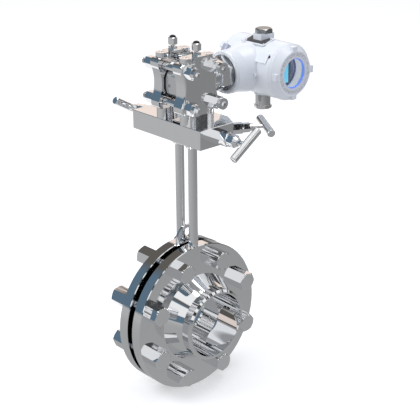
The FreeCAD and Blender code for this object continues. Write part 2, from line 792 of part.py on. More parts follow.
def foot_fasteners():
    """Socket head screws from under the manifold into the lower lugs."""
    body = new_body("foot_screws", UP, MID, "0", BLOCK_TOP)
    for side in ("-", ""):
        for back in ("-", ""):
            spot = (side + "port_x", back + "lug_y")
            pad(body, circles(body, "XY_Plane", [spot + ("foot_bolt_od",)], "foot_head-block_tall"),
                "block_tall-foot_head+foot_reach")
            pad(body, circles(body, "XY_Plane", [spot + ("foot_head_od",)], "foot_head-block_tall"),
                "foot_head", backward=True)


def sensor_module():
    """Round sensor body between the process flanges, with the neck that carries the housing."""
    body = new_body("sensor_module", ALONG_X, MID, "0", "cell_z")
    turn(body, [
        ("0", "-module_half"),
        ("module_od/2-module_break", "-module_half"),
        ("module_od/2", "module_break-module_half"),
        ("module_od/2", "module_half-module_break"),
        ("module_od/2-module_break", "module_half"),
        ("0", "module_half"),
    ])
    flat = outline(body, "XY_Plane", box_points("-module_od", "module_flat", "module_od", "module_od"), "-module_half-1")
    pocket(body, flat, "2*module_half+2", forward=True)
    pad(body, circles(body, "XZ_Plane", [("0", "0", "neck_od")]), "collar_y+1")
    pad(body, circles(body, "XZ_Plane", [("0", "0", "neck_collar_od")], "collar_y"), "neck_collar_len")
    pad(body, circles(body, "XZ_Plane", [("0", "0", "spindle_od")], "collar_y"), "spindle_end_y-collar_y")
    for label, rotation, side in (("inlet_cell_seal", AGAINST_X, "-"), ("outlet_cell_seal", ALONG_X, "+")):
        seal = new_body(label, rotation, MID + side + "module_half", "0", "cell_z")
        turn(seal, box_points("seal_bore/2", "0", "seal_od/2", "port_x-plate_half-module_half"))
    nut = new_body("swivel_nut", ALONG_Y, MID, "collar_y+neck_collar_len", "cell_z")
    pad(nut, outline(nut, "XY_Plane", hex_points("swivel_hex")), "swivel_len")
    corner_cut(nut, "swivel_hex", "swivel_len")
    corner_cut(nut, "swivel_hex", "0", down=False)
    pocket(nut, circles(nut, "XY_Plane", [("0", "0", "spindle_od+2*thread_gap")], "-1"), "swivel_len+2", forward=True)


def port_seals():
    """Flat rings that seal the manifold's upper ports."""
    for label, side in (("inlet_port_seal", "-"), ("outlet_port_seal", "+")):
        seal = new_body(label, UP, MID + side + "port_x", "0", BLOCK_TOP + "-port_seal_thick")
        turn(seal, box_points("port_bore/2", "0", "port_seal_od/2", "port_seal_thick"))


def vents():
    """Vent plugs on top of the process flanges: a seat body and the screw that turns in it."""
    for side_name, side in (("inlet", "-"), ("outlet", "+")):
        seat = new_body(side_name + "_vent_seat", UP, MID + side + "port_x", "0", "port_top")
        pad(seat, outline(seat, "XY_Plane", hex_points("vent_hex")), "vent_hex_tall")
        corner_cut(seat, "vent_hex", "vent_hex_tall")
        pad(seat, circles(seat, "XY_Plane", [("0", "0", "vent_thread")]), "vent_deep", backward=True)
        bore = circles(seat, "XY_Plane", [("0", "0", "vent_neck+2*run_gap")], "vent_hex_tall+1")
        pocket(seat, bore, "vent_hex_tall+vent_deep-1")
        drain = circles(seat, "XY_Plane", [("0", "0", "vent_bore/2")], "vent_hex_tall+1")
        pocket(seat, drain, "vent_hex_tall+vent_deep+2")
        foot = "vent_neck_tall/2"
        needle = new_body(side_name + "_vent_needle", UP, MID + side + "port_x", "0", "port_top+vent_hex_tall")
        pad(needle, circles(needle, "XY_Plane", [("0", "0", "vent_neck")], "-vent_reach"),
            "vent_reach+%s+vent_peg" % foot)
        cap = new_body(side_name + "_vent_cap", UP, MID + side + "port_x", "0", "port_top+vent_hex_tall")
        pad(cap, outline(cap, "XY_Plane", hex_points("vent_cap"), foot), "vent_cap_tall")
        corner_cut(cap, "vent_cap", foot, down=False)
        groove(cap, [
            ("vent_cap*0.32", foot + "+vent_cap_tall"),
            ("vent_cap*0.62", foot + "+vent_cap_tall"),
            ("vent_cap*0.62", foot + "+vent_cap_tall-vent_cap*0.38"),
        ])
        pocket(cap, circles(cap, "XY_Plane", [("0", "0", "vent_neck+2*run_gap")], foot),
               "vent_peg+2*run_gap", forward=True)


CASE = (MID, "case_y", "case_z")


def housing():
    """Cast two-compartment housing with the hub on its side and a conduit boss above and below."""
    body = new_body("housing", ALONG_X, *CASE)
    turn(body, [
        ("0", "-case_back"),
        ("case_od/2-1", "-case_back"),
        ("case_od/2", "1-case_back"),
        ("case_od/2", "case_front-1"),
        ("case_od/2-1", "case_front"),
        ("0", "case_front"),
    ])
    centre = "(cell_z-case_z)"
    face = "(case_y-hub_face_y)"
    turn(body, [
        (centre, "0"),
        (centre + "+hub_bell_od/2+hub_flare", "0"),
        (centre + "+hub_bell_od/2+hub_flare", face + "-hub_plain-hub_flare_len"),
        (centre + "+hub_bell_od/2", face + "-hub_plain"),
        (centre + "+hub_bell_od/2", face + "-hub_step"),
        (centre + "+hub_ring_od/2", face + "-hub_step+1"),
        (centre + "+hub_ring_od/2", face),
        (centre, face),
    ], plane="XY_Plane", axis=((centre, "0"), (centre, "100")))
    pad(body, outline(body, "XY_Plane", tangent_box(
        "case_od/2-5", "case_od/2+name_rise", "name_half", "name_turn"), "name_x"), "name_len")
    pocket(body, outline(body, "XY_Plane", tangent_box(
        "case_od/2+name_rise-name_deep", "case_od/2+name_rise+1", "(name_half-name_edge)", "name_turn"),
        "name_x+name_edge"), "name_len-2*name_edge", forward=True)
    pad(body, outline(body, "XY_Plane", tangent_box(
        "case_od/2-5", "case_od/2+lock_rise", "lock_half", "lock_turn"), "lock_x"), "lock_len")
    pad(body, circles(body, "XZ_Plane", [("-earth_drop", "earth_x", "earth_od")]), "case_od/2+earth_tall", backward=True)
    pad(body, outline(body, "YZ_Plane", hex_points("boss_hex", "0", "boss_x")), BOSS_TOP)
    pad(body, circles(body, "YZ_Plane", [("0", "boss_x", "boss_od")]), BOSS_LOW, backward=True)
    groove(body, box_points("0", "case_front-mouth_deep", "mouth_bore/2", "case_front+1"))
    groove(body, box_points("0", "-case_back-1", "mouth_bore/2", "rear_mouth_deep-case_back"))
    socket = circles(body, "XZ_Plane", [("cell_z-case_z", "0", "hub_socket_od")], "hub_face_y-case_y-1")
    pocket(body, socket, "hub_socket_deep+1", forward=True)
    bore = circles(body, "XZ_Plane", [("cell_z-case_z", "0", "spindle_od+2*run_gap")], "hub_face_y-case_y-1")
    pocket(body, bore, "spindle_end_y-hub_face_y+2", forward=True)
    top = circles(body, "YZ_Plane", [("0", "boss_x", "conduit_bore")], BOSS_TOP + "+1")
    pocket(body, top, "conduit_deep+1")
    low = circles(body, "YZ_Plane", [("0", "boss_x", "conduit_bore")], "-" + BOSS_LOW + "-1")
    pocket(body, low, "conduit_deep+1", forward=True)


def cover(label, rotation, x, length, window):
    """Screwed cover with four spanner lugs; the front one holds the window."""
    body = new_body(label, rotation, x, "case_y", "case_z")
    spigot = "(mouth_bore/2-run_gap)"
    hollow = "(window_glass/2+fit_gap)"
    centre = "window_bore/2" if window else "0"
    ring_groove = "(ring_od/2-ring_thick+run_gap)"
    points = [
        ("case_od/2-1", "0"),
        ("case_od/2", "1"),
        ("case_od/2", "3"),
        ("cover_face_od/2", length),
        (centre, length),
        (centre, "%s-face_wall" % length),
        (hollow, "%s-face_wall" % length),
        (hollow, "-cover_spigot"),
        (spigot, "-cover_spigot"),
        (spigot, "-4-ring_thick"),
        (ring_groove, "-4-ring_thick"),
        (ring_groove, "-4"),
        (spigot, "-4"),
        (spigot, "0"),
    ]
    turn(body, points)
    lug = outline(body, "XY_Plane", box_points(
        "cover_face_od/2-6", "-cover_lug_wide/2", "cover_lug_od/2", "cover_lug_wide/2"), "3")
    first = pad(body, lug, "%s-3" % length)
    return body, first


def covers():
    """Front cover with its window and rear blank cover, each with a sliding seal ring."""
    front, lug = cover("front_cover", ALONG_X, MID + "+case_front", "cover_len", True)
    pattern(front, [lug], "4")
    eighth = AGAINST_X.multiply(Rotation(Vector(0, 0, 1), 45))
    rear, lug = cover("rear_cover", eighth, MID + "-case_back", "rear_len", False)
    pattern(rear, [lug], "4")
    glass = new_body("window_glass", ALONG_X, MID + "+case_front+cover_len-face_wall-window_thick", "case_y", "case_z")
    turn(glass, box_points("0", "0", "window_glass/2", "window_thick"))
    rings = (("front_seal_ring", ALONG_X, "+case_front"), ("rear_seal_ring", AGAINST_X, "-case_back"))
    for label, rotation, x in rings:
        ring = new_body(label, rotation, MID + x, "case_y", "case_z")
        turn(ring, box_points(
            "ring_od/2-ring_thick+2*run_gap", "-4-ring_thick+run_gap", "mouth_bore/2-run_gap", "-4-run_gap"))


def indicator():
    """Display dial on three posts behind the window."""
    floor = MID + "+case_front-mouth_deep"
    posts = new_body("display_posts", ALONG_X, floor, "case_y", "case_z")
    post = pad(posts, circles(posts, "XY_Plane", [("dial_od*0.38", "0", "5")]), "mouth_deep-dial_gap-dial_thick")
    pattern(posts, [post], "3")
    dial = new_body("display_module", ALONG_X, MID + "+case_front-dial_gap-dial_thick", "case_y", "case_z")
    turn(dial, box_points("0", "0", "dial_od/2", "dial_thick"))
    screen = outline(dial, "XY_Plane", box_points("-screen_h/2", "-screen_w/2", "screen_h/2", "screen_w/2"), "dial_thick")
    pocket(dial, screen, "screen_thick")
    lens = new_body("display_screen", ALONG_X, MID + "+case_front-dial_gap-screen_thick", "case_y", "case_z")
    pad(lens, outline(lens, "XY_Plane", box_points(
        "fit_gap-screen_h/2", "fit_gap-screen_w/2", "screen_h/2-fit_gap", "screen_w/2-fit_gap")), "screen_thick")
    terminal = new_body("terminal_block", AGAINST_X, MID + "-case_back+rear_mouth_deep", "case_y", "case_z")
    pad(terminal, outline(terminal, "XY_Plane", box_points("-10", "-22", "10", "22")), "12")


def conduits():
    """Blanking plug in the upper entry and cable gland in the lower one."""
    plug = new_body("conduit_plug", UP, MID + "+boss_x", "case_y", "case_z+" + BOSS_TOP)
    pad(plug, outline(plug, "XY_Plane", hex_points("plug_hex")), "plug_tall")
    corner_cut(plug, "plug_hex", "plug_tall")
    pad(plug, circles(plug, "XY_Plane", [("0", "0", "conduit_bore-2*thread_gap")]), "conduit_deep-2", backward=True)
    gland = new_body("cable_gland", DOWN, MID + "+boss_x", "case_y", "case_z-" + BOSS_LOW)
    pad(gland, circles(gland, "XY_Plane", [("0", "0", "gland_od")]), "gland_tall")
    pad(gland, circles(gland, "XY_Plane", [("0", "0", "conduit_bore-2*thread_gap")]), "conduit_deep-2", backward=True)
    pocket(gland, circles(gland, "XY_Plane", [("0", "0", "gland_bore")], "gland_tall+1"),
           "gland_tall+conduit_deep+2")
    nut = new_body("gland_nut", DOWN, MID + "+boss_x", "case_y", "case_z-" + BOSS_LOW + "-gland_tall")
    pad(nut, outline(nut, "XY_Plane", hex_points("gland_hex")), "gland_hex_tall")
    corner_cut(nut, "gland_hex", "gland_hex_tall")
    pocket(nut, circles(nut, "XY_Plane", [("0", "0", "gland_bore")], "-1"), "gland_hex_tall+2", forward=True)


weld_neck_flange("inlet_flange", AGAINST_X, "-")
weld_neck_flange("outlet_flange", ALONG_X, "+")
orifice_plate()
gasket("inlet_gasket", MID + "-" + MATE)
gasket("outlet_gasket", MID + "+plate_thick/2")
flange_fasteners()
impulse_line("inlet", "-")
impulse_line("outlet", "+")
manifold_block()
port_seals()
valves()
process_flange("inlet_process_flange", HALF_TURN, "-")
process_flange("outlet_process_flange", UP, "+")
cell_fasteners()
foot_fasteners()
sensor_module()
vents()
housing()
covers()
indicator()
conduits()

doc.recompute()
for item in doc.Objects:
    if "Invalid" in item.State or "Error" in item.State:
        raise RuntimeError("%s failed: %s" % (item.Label, item.State))
for body in NODES:
    shape = body.Shape
    if shape.isNull() or not shape.isValid() or not shape.Solids:
        raise RuntimeError("%s has no sound solid" % body.Label)
for body in NODES:
    body.Shape.exportStep("parts/%s.step" % body.Label)
    print("%-24s %d solids %.1f cm3" % (body.Label, len(body.Shape.Solids), body.Shape.Volume / 1000.0))
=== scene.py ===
import logging
import math
from dataclasses import dataclass
from enum import Enum
from typing import Any, Optional, Sequence, Union

import bpy
from mathutils import Matrix, Vector


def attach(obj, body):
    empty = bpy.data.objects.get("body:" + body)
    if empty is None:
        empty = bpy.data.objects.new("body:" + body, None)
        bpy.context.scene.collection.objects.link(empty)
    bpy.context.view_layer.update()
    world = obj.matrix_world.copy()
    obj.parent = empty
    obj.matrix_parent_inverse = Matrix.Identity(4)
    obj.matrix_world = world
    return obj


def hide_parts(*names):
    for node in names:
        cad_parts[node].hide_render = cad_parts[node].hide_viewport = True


log = logging.getLogger("flow_meter")

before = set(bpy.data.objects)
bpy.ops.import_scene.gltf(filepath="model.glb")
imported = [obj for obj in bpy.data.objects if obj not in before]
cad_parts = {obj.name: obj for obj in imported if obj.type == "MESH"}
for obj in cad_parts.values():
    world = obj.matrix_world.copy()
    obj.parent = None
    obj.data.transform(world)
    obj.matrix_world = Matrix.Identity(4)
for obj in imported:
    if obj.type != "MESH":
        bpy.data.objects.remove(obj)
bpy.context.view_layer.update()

Colour = tuple[float, float, float]
Span = tuple[float, float]
Number = Union[float, "Wire"]

# Places that several sub-assemblies share, in metres
MIDDLE_X = 0.066
HEAD_AXIS_Y = 0.154
HEAD_AXIS_Z = 0.3705
HEAD_HALF = 0.060
COVER_FACE = 0.0132
CELL_THREAD_START = 0.05165

# Modelling: the radius that closes a turned end, the gap that merges, the smoothed angle
POLE = 1e-5
MERGE = 2e-5
SMOOTH_BELOW = 30.0
FULL_TURN = 2 * math.pi

# The room: its plain colours, and a height that nothing in it reaches
OVER_ALL = 2.0
WHITE: Colour = (1.0, 1.0, 1.0)
PALE: Colour = (0.50, 0.505, 0.515)
LOW_GREY: Colour = (0.36, 0.365, 0.375)
BLUE_WALL: Colour = (0.118, 0.185, 0.250)
BROWN_WALL: Colour = (0.128, 0.118, 0.106)
SOFT_LOW: Colour = (0.26, 0.28, 0.32)
SOFT_HIGH: Colour = (0.66, 0.68, 0.74)


def shade(colour: Colour, share: float) -> Colour:
    """A colour with each part multiplied by share."""
    return tuple(part * share for part in colour)


class Wire:
    """A value in a node tree; Python's operators on it add Math nodes."""

    def __init__(self, bench: "Bench", socket: Any) -> None:
        """Wrap one output socket of the tree that bench works on."""
        self.bench = bench
        self.socket = socket

    def _maths(self, operation: str, *terms: Number, clamp: bool = False) -> "Wire":
        """Add a Math node fed by the terms."""
        sockets = {index: term for index, term in enumerate(terms)}
        return self.bench.node("ShaderNodeMath", {"operation": operation, "use_clamp": clamp}, sockets)

    def __add__(self, other: Number) -> "Wire":
        """Sum."""
        return self._maths("ADD", self, other)

    def __radd__(self, other: Number) -> "Wire":
        """Sum with the number first."""
        return self._maths("ADD", other, self)

    def __sub__(self, other: Number) -> "Wire":
        """Difference."""
        return self._maths("SUBTRACT", self, other)

    def __rsub__(self, other: Number) -> "Wire":
        """Difference with the number first."""
        return self._maths("SUBTRACT", other, self)

    def __mul__(self, other: Number) -> "Wire":
        """Product."""
        return self._maths("MULTIPLY", self, other)

    def __rmul__(self, other: Number) -> "Wire":
        """Product with the number first."""
        return self._maths("MULTIPLY", other, self)

    def __truediv__(self, other: Number) -> "Wire":
        """Quotient."""
        return self._maths("DIVIDE", self, other)

    def __gt__(self, other: Number) -> "Wire":
        """1 where the value is larger, otherwise 0."""
        return self._maths("GREATER_THAN", self, other)

    def __lt__(self, other: Number) -> "Wire":
        """1 where the value is smaller, otherwise 0."""
        return self._maths("LESS_THAN", self, other)

    def __pow__(self, other: Number) -> "Wire":
        """Power."""
        return self._maths("POWER", self, other)

    def clamp(self) -> "Wire":
        """Hold the value between 0 and 1."""
        return self._maths("ADD", self, 0.0, clamp=True)

    def at_most(self, limit: float) -> "Wire":
        """The value, but never above limit."""
        return self._maths("MINIMUM", self, limit)

    def at_least(self, limit: float) -> "Wire":
        """The value, but never below limit."""
        return self._maths("MAXIMUM", self, limit)

    def sine(self) -> "Wire":
        """Sine of the value in radians."""
        return self._maths("SINE", self)

    def ripple(self, pitch: float) -> "Wire":
        """Sine wave that repeats every pitch."""
        return (self * (FULL_TURN / pitch)).sine()

    def turn_from(self, other: "Wire") -> "Wire":
        """Angle of the point (other, self) in radians."""
        return self._maths("ARCTAN2", self, other)

    def between(self, low: float, high: float, soft: float) -> "Wire":
        """Mark a band.

        Args:
            low: where the band starts.
            high: where it ends.
            soft: how wide its edges fade.

        Returns:
            1 inside the band and 0 outside it.
        """
        rise = ((self - (low - soft / 2)) / soft).clamp()
        fall = (((high + soft / 2) - self) / soft).clamp()
        return rise * fall


class Bench:
    """Builds one node tree."""

    def __init__(self, tree: Any) -> None:
        """Start from an empty tree."""
        self.tree = tree
        self.tree.nodes.clear()

    def node(self, kind: str, settings: Optional[dict] = None, sockets: Optional[dict] = None,
             out: Union[int, str] = 0) -> Wire:
        """Add a node.

        Args:
            kind: the node's type name.
            settings: properties that are set first.
            sockets: input name or number to a number, colour, vector or Wire.
            out: which output is handed back.

        Returns:
            The wrapped output socket.
        """
        made = self.tree.nodes.new(kind)
        for name, setting in (settings or {}).items():
            setattr(made, name, setting)
        for name, value in (sockets or {}).items():
            socket = made.inputs[name]
            if isinstance(value, Wire):
                self.tree.links.new(value.socket, socket)
            elif isinstance(value, (tuple, list)) and len(socket.default_value) == 4 and len(value) == 3:
                socket.default_value = (*value, 1.0)
            else:
                socket.default_value = value
        return Wire(self, made.outputs[out])

    def mix(self, share: Number, first: Any, second: Any) -> Wire:
        """Blend two colours by share."""
        return self.node("ShaderNodeMix", {"data_type": "RGBA"}, {0: share, 6: first, 7: second}, 2)

    def noise(self, place: Wire, scale: float, detail: float) -> Wire:
        """Cloudy value about 0.5."""
        return self.node("ShaderNodeTexNoise", {}, {"Vector": place, "Scale": scale, "Detail": detail})

    def place(self, scale: Sequence[float] = (1, 1, 1)) -> Wire:
        """Object coordinates, scaled along each axis."""
        raw = self.node("ShaderNodeTexCoord", out="Object")
        return self.node("ShaderNodeMapping", {}, {"Vector": raw, "Scale": tuple(scale)})

    def parts(self, vector: Wire) -> tuple[Wire, Wire, Wire]:
        """Split a vector.

        Args:
            vector: the vector to split.

        Returns:
            Its three numbers.
        """
        split = self.node("ShaderNodeSeparateXYZ", {}, {0: vector})
        outs = split.socket.node.outputs
        return Wire(self, outs[0]), Wire(self, outs[1]), Wire(self, outs[2])

    def radius(self, axis_y: float = 0.0, axis_z: float = 0.0) -> Wire:
        """Distance from the line along X through axis_y and axis_z."""
        _, y, z = self.parts(self.place())
        return ((y - axis_y) ** 2.0 + (z - axis_z) ** 2.0) ** 0.5

    def rays(self) -> tuple[Wire, Wire]:
        """1 on a ray from the camera, and 1 on a ray that a glossy surface sends."""
        outs = self.node("ShaderNodeLightPath").socket.node.outputs
        return Wire(self, outs["Is Camera Ray"]), Wire(self, outs["Is Glossy Ray"])

    def bump(self, height: Wire, strength: float, distance: float) -> Wire:
        """Surface normal from a height."""
        return self.node("ShaderNodeBump", {}, {"Height": height, "Strength": strength, "Distance": distance})

    def principled(self, sockets: dict) -> Wire:
        """Add a Principled shader with these sockets."""
        return self.node("ShaderNodeBsdfPrincipled", {}, sockets)

    def end(self, shader: Wire, kind: str = "ShaderNodeOutputMaterial") -> None:
        """Add an output node of the kind and link the shader."""
        output = self.tree.nodes.new(kind)
        self.tree.links.new(shader.socket, output.inputs["Surface"])


@dataclass(frozen=True)
class Finish:
    """A named finish; each kind of finish says how its surface is made."""

    name: str

    def build(self) -> Any:
        """Make the material.

        Returns:
            The new material.
        """
        material = bpy.data.materials.new(self.name)
        material.use_nodes = True
        bench = Bench(material.node_tree)
        bench.end(self.surface(bench))
        return material

    def surface(self, bench: Bench) -> Wire:
        """Build the shader; each kind of finish has its own."""
        raise NotImplementedError


@dataclass(frozen=True)
class Steel(Finish):
    """Stainless steel, polished or machined, with faint streaks and cloudy roughness."""

    tone: Colour = (0.86, 0.87, 0.885)
    rough: float = 0.07
    spread: float = 0.05
    streak: Colour = (1.0, 1.0, 1.0)
    streak_depth: float = 0.02
    smudge: float = 0.05
    wave: float = 0.0
    wave_way: Colour = (1.0, 1.0, 1.0)
    wave_scale: float = 110.0
    cloud_scale: float = 28.0
    streak_scale: float = 900.0
    relief: float = 0.001

    def surface(self, bench: Bench) -> Wire:
        """Cloudy metal over streaks and waves.

        Args:
            bench: where the nodes are added.

        Returns:
            The shader.
        """
        cloud = bench.noise(bench.place(), self.cloud_scale, 3.0)
        drawn = bench.noise(bench.place(self.streak), self.streak_scale, 2.0)
        waves = bench.noise(bench.place(self.wave_way), self.wave_scale, 1.0)
        roughness = cloud * self.spread + drawn * (self.spread * 0.5) + (self.rough - self.spread * 0.4)
        height = drawn * (self.streak_depth * 0.4) + waves * self.wave
        return bench.principled({
            "Base Color": bench.mix(cloud, self.tone, shade(self.tone, 1.0 - self.smudge)),
            "Metallic": 1.0,
            "Roughness": roughness,
            "Normal": bench.bump(height, 1.0, self.relief),
        })


@dataclass(frozen=True)
class TurnedSteel(Finish):
    """Steel with the fine rings that a lathe leaves about the pipe's axis."""

    tone: Colour = (0.84, 0.85, 0.865)
    rough: float = 0.09
    pitch: float = 0.0008
    cloud_scale: float = 22.0
    cloud_tone: float = 0.95
    cloud_rough: float = 0.03
    ring_strength: float = 0.012
    ring_relief: float = 0.0003

    def surface(self, bench: Bench) -> Wire:
        """Cloudy metal over lathe rings.

        Args:
            bench: where the nodes are added.

        Returns:
            The shader.
        """
        rings = bench.radius().ripple(self.pitch)
        cloud = bench.noise(bench.place(), self.cloud_scale, 3.0)
        return bench.principled({
            "Base Color": bench.mix(cloud, self.tone, shade(self.tone, self.cloud_tone)),
            "Metallic": 1.0,
            "Roughness": cloud * self.cloud_rough + (self.rough - 0.012),
            "Normal": bench.bump(rings, self.ring_strength, self.ring_relief),
        })


@dataclass(frozen=True)
class ThreadedSteel(Finish):
    """Bright bolt steel whose far end carries a thread along the pipe's axis, with painted shade in the
    thread's grooves.
    """

    start: float
    pitch: float = 0.002
    tone: Colour = (0.84, 0.85, 0.865)
    rough: float = 0.09
    cloud_scale: float = 30.0
    cloud_rough: float = 0.06
    # share of the tone left in the thread's grooves: painted shade
    groove_painted_shade: float = 0.55
    groove_rough: float = 0.15
    thread_strength: float = 0.6
    thread_relief: float = 0.0006

    def surface(self, bench: Bench) -> Wire:
        """Metal with a thread beyond the start, and painted shade in its grooves.

        Args:
            bench: where the nodes are added.

        Returns:
            The shader.
        """
        x, _, _ = bench.parts(bench.place())
        cloud = bench.noise(bench.place(), self.cloud_scale, 3.0)
        turns = x.ripple(self.pitch) * (x < self.start)
        groove = (turns * -0.5 + 0.5) * (x < self.start)
        return bench.principled({
            # painted shade: the thread's grooves are darkened in the base colour
            "Base Color": bench.mix(groove, self.tone, shade(self.tone, self.groove_painted_shade)),
            "Metallic": 1.0,
            "Roughness": cloud * self.cloud_rough + groove * self.groove_rough + self.rough,
            "Normal": bench.bump(turns, self.thread_strength, self.thread_relief),
        })


@dataclass(frozen=True)
class Paint(Finish):
    """Semi-gloss paint on a casting, with orange peel and a slight change of tone."""

    colour: Colour = (0.80, 0.83, 0.875)
    rough: float = 0.33
    coat: float = 0.25
    coat_rough: float = 0.12
    peel: float = 0.06
    peel_scale: float = 620.0
    peel_relief: float = 0.0004
    cloud_scale: float = 14.0
    cloud_rough: float = 0.08
    dull: Colour = (0.52, 0.56, 0.62)
    dull_share: float = 0.07

    def coated(self, bench: Bench, colour: Any) -> Wire:
        """Build the paint's shader.

        Args:
            bench: where the nodes are added.
            colour: the paint's colour, plain or as a Wire.

        Returns:
            The shader.
        """
        place = bench.place()
        cloud = bench.noise(place, self.cloud_scale, 3.0)
        peel = bench.noise(place, self.peel_scale, 1.0)
        return bench.principled({
            "Base Color": bench.mix(cloud, colour, bench.mix(self.dull_share, colour, self.dull)),
            "Roughness": cloud * self.cloud_rough + (self.rough - 0.03),
            "Coat Weight": self.coat,
            "Coat Roughness": self.coat_rough,
            "Normal": bench.bump(peel, self.peel, self.peel_relief),
        })

    def surface(self, bench: Bench) -> Wire:
        """The paint in its own colour."""
        return self.coated(bench, self.colour)


@dataclass(frozen=True)
class RingedPaint(Paint):
    """The same paint, with a satin grey ring on the end face round the window; dark specks on it are painted
    shade standing in for embossed lettering, and its lip has a painted highlight.
    """

    face_x: float = 0.0
    ring: Span = (0.0229, 0.0339)
    ring_colour: Colour = (0.74, 0.75, 0.79)
    # marks: band of darker specks, painted shade standing in for the embossed lettering's relief
    marks: Span = (0.0262, 0.0314)
    marks_scale: float = 420.0
    marks_share: float = 0.6
    marks_painted_shade: float = 0.52
    # lip: brighter band at the ring's edge, a painted highlight on its bevel
    lip: Span = (0.0325, 0.04)
    lip_painted_highlight: Colour = (0.90, 0.91, 0.94)
    edge: float = 0.0006

    def surface(self, bench: Bench) -> Wire:
        """The paint with its ring, its lettering specks in painted shade and its lip in a painted highlight.

        Args:
            bench: where the nodes are added.

        Returns:
            The shader.
        """
        x, _, _ = bench.parts(bench.place())
        radius = bench.radius(HEAD_AXIS_Y, HEAD_AXIS_Z)
        specks = bench.noise(bench.place(), self.marks_scale, 1.0).between(0.50, 1.5, 0.05)
        marks = specks * radius.between(*self.marks, self.edge)
        # painted shade: darker specks in the lettering band
        lettering_shaded = bench.mix(marks * self.marks_share, self.ring_colour, shade(self.ring_colour, self.marks_painted_shade))
        # painted highlight: the lip is lighter than the rest of the ring
        bright = bench.mix(radius.between(*self.lip, self.edge), lettering_shaded, self.lip_painted_highlight)
        ring = (x > self.face_x) * (radius < self.ring[1]) * (radius > self.ring[0])
        return self.coated(bench, bench.mix(ring, self.colour, bright))


@dataclass(frozen=True)
class CoredGasket(Finish):
    """Graphite gasket whose steel inner ring shows round the bore."""

    core_radius: float = 0.056
    graphite: Colour = (0.014, 0.014, 0.015)
    core_tone: Colour = (0.83, 0.84, 0.855)

    def surface(self, bench: Bench) -> Wire:
        """Graphite outside the core's radius and steel inside it.

        Args:
            bench: where the nodes are added.

        Returns:
            The shader.
        """
        core = bench.radius() < self.core_radius
        grain = bench.noise(bench.place(), 500.0, 3.0)
        return bench.principled({
            "Base Color": bench.mix(core, self.graphite, self.core_tone),
            "Metallic": core,
            "Roughness": 0.8 - core * 0.74 + grain * 0.05,
            "Normal": bench.bump(grain, 0.08, 0.0003),
        })


@dataclass(frozen=True)
class StreakedDial(Finish):
    """Glossy dial painted purple with upright lilac streaks, a painted reflection of the window's coated
    glass, and a dark rim.
    """

    rim_radius: float = 0.0232
    streak_way: Colour = (0.1, 1.0, 0.05)
    streak_scale: float = 620.0
    streak_share: float = 0.85
    purple: Colour = (0.075, 0.055, 0.165)
    lilac: Colour = (0.50, 0.47, 0.74)
    rim: Colour = (0.012, 0.010, 0.022)

    def surface(self, bench: Bench) -> Wire:
        """Painted reflection: lilac streaks inside the rim.

        Args:
            bench: where the nodes are added.

        Returns:
            The shader.
        """
        radius = bench.radius(HEAD_AXIS_Y, HEAD_AXIS_Z)
        # painted reflection: lilac streaks of the coated glass on the purple dial
        streaks = bench.noise(bench.place(self.streak_way), self.streak_scale, 2.0).between(0.53, 1.5, 0.05)
        dial = bench.mix(streaks * self.streak_share, self.purple, self.lilac)
        return bench.principled({
            "Base Color": bench.mix(radius > self.rim_radius, dial, self.rim),
            "Roughness": streaks * 0.1 + 0.28,
            "Normal": bench.bump(streaks, 0.1, 0.0003),
        })


@dataclass(frozen=True)
class Moulded(Finish):
    """Moulded rubber, graphite or plastic."""

    colour: Colour
    rough: float = 0.6
    grain: float = 400.0
    depth: float = 0.1
    relief: float = 0.0004
    # glow makes a part shine though it is no lamp: painted light on the window seal and the display liner
    glow: float = 0.0

    def surface(self, bench: Bench) -> Wire:
        """Grained colour that may glow.

        Args:
            bench: where the nodes are added.

        Returns:
            The shader.
        """
        grain = bench.noise(bench.place(), self.grain, 3.0)
        pale = tuple(min(1.0, part * 1.35 + 0.01) for part in self.colour)
        colour = bench.mix(grain, self.colour, pale)
        return bench.principled({
            "Base Color": colour,
            "Roughness": grain * 0.15 + (self.rough - 0.07),
            "Emission Color": colour,
            "Emission Strength": self.glow,
            "Normal": bench.bump(grain, self.depth, self.relief),
        })


@dataclass(frozen=True)
class WindowGlass(Finish):
    """Clear glass with a faint blue coating that shows in its reflections."""

    index: float = 1.5
    clear_tint: Colour = (0.97, 0.98, 1.0)
    coating: Colour = (0.70, 0.80, 1.0)
    shine_share: float = 0.30
    dust_share: float = 0.01

    def surface(self, bench: Bench) -> Wire:
        """Clear glass that mirrors at its edges.

        Args:
            bench: where the nodes are added.

        Returns:
            The shader.
        """
        edge = bench.node("ShaderNodeFresnel", {}, {"IOR": self.index})
        dust = bench.noise(bench.place(), 300.0, 2.0)
        clear = bench.node("ShaderNodeBsdfTransparent", {}, {"Color": self.clear_tint})
        shine = bench.node("ShaderNodeBsdfGlossy", {}, {"Color": self.coating, "Roughness": 0.02})
        share = edge * self.shine_share + dust * self.dust_share
        return bench.node("ShaderNodeMixShader", {}, {0: share, 1: clear, 2: shine})


@dataclass(frozen=True)
class LitScreen(Finish):
    """Back-lit liquid crystal panel with faint rows of cells."""

    colour: Colour = (0.13, 0.66, 0.88)
    cell: float = 0.0009
    cell_tone: float = 0.8
    cell_share: float = 0.6
    glow: float = 0.75

    def surface(self, bench: Bench) -> Wire:
        """Rows and columns of cells on a lit colour.

        Args:
            bench: where the nodes are added.

        Returns:
            The shader.
        """
        _, y, z = bench.parts(bench.place())
        rows = z.ripple(self.cell) * 0.5 + 0.5
        columns = y.ripple(self.cell) * 0.5 + 0.5
        colour = bench.mix(rows * columns * self.cell_share, self.colour, shade(self.colour, self.cell_tone))
        return bench.principled({
            "Base Color": colour,
            "Roughness": 0.25,
            "Emission Color": colour,
            "Emission Strength": self.glow,
        })


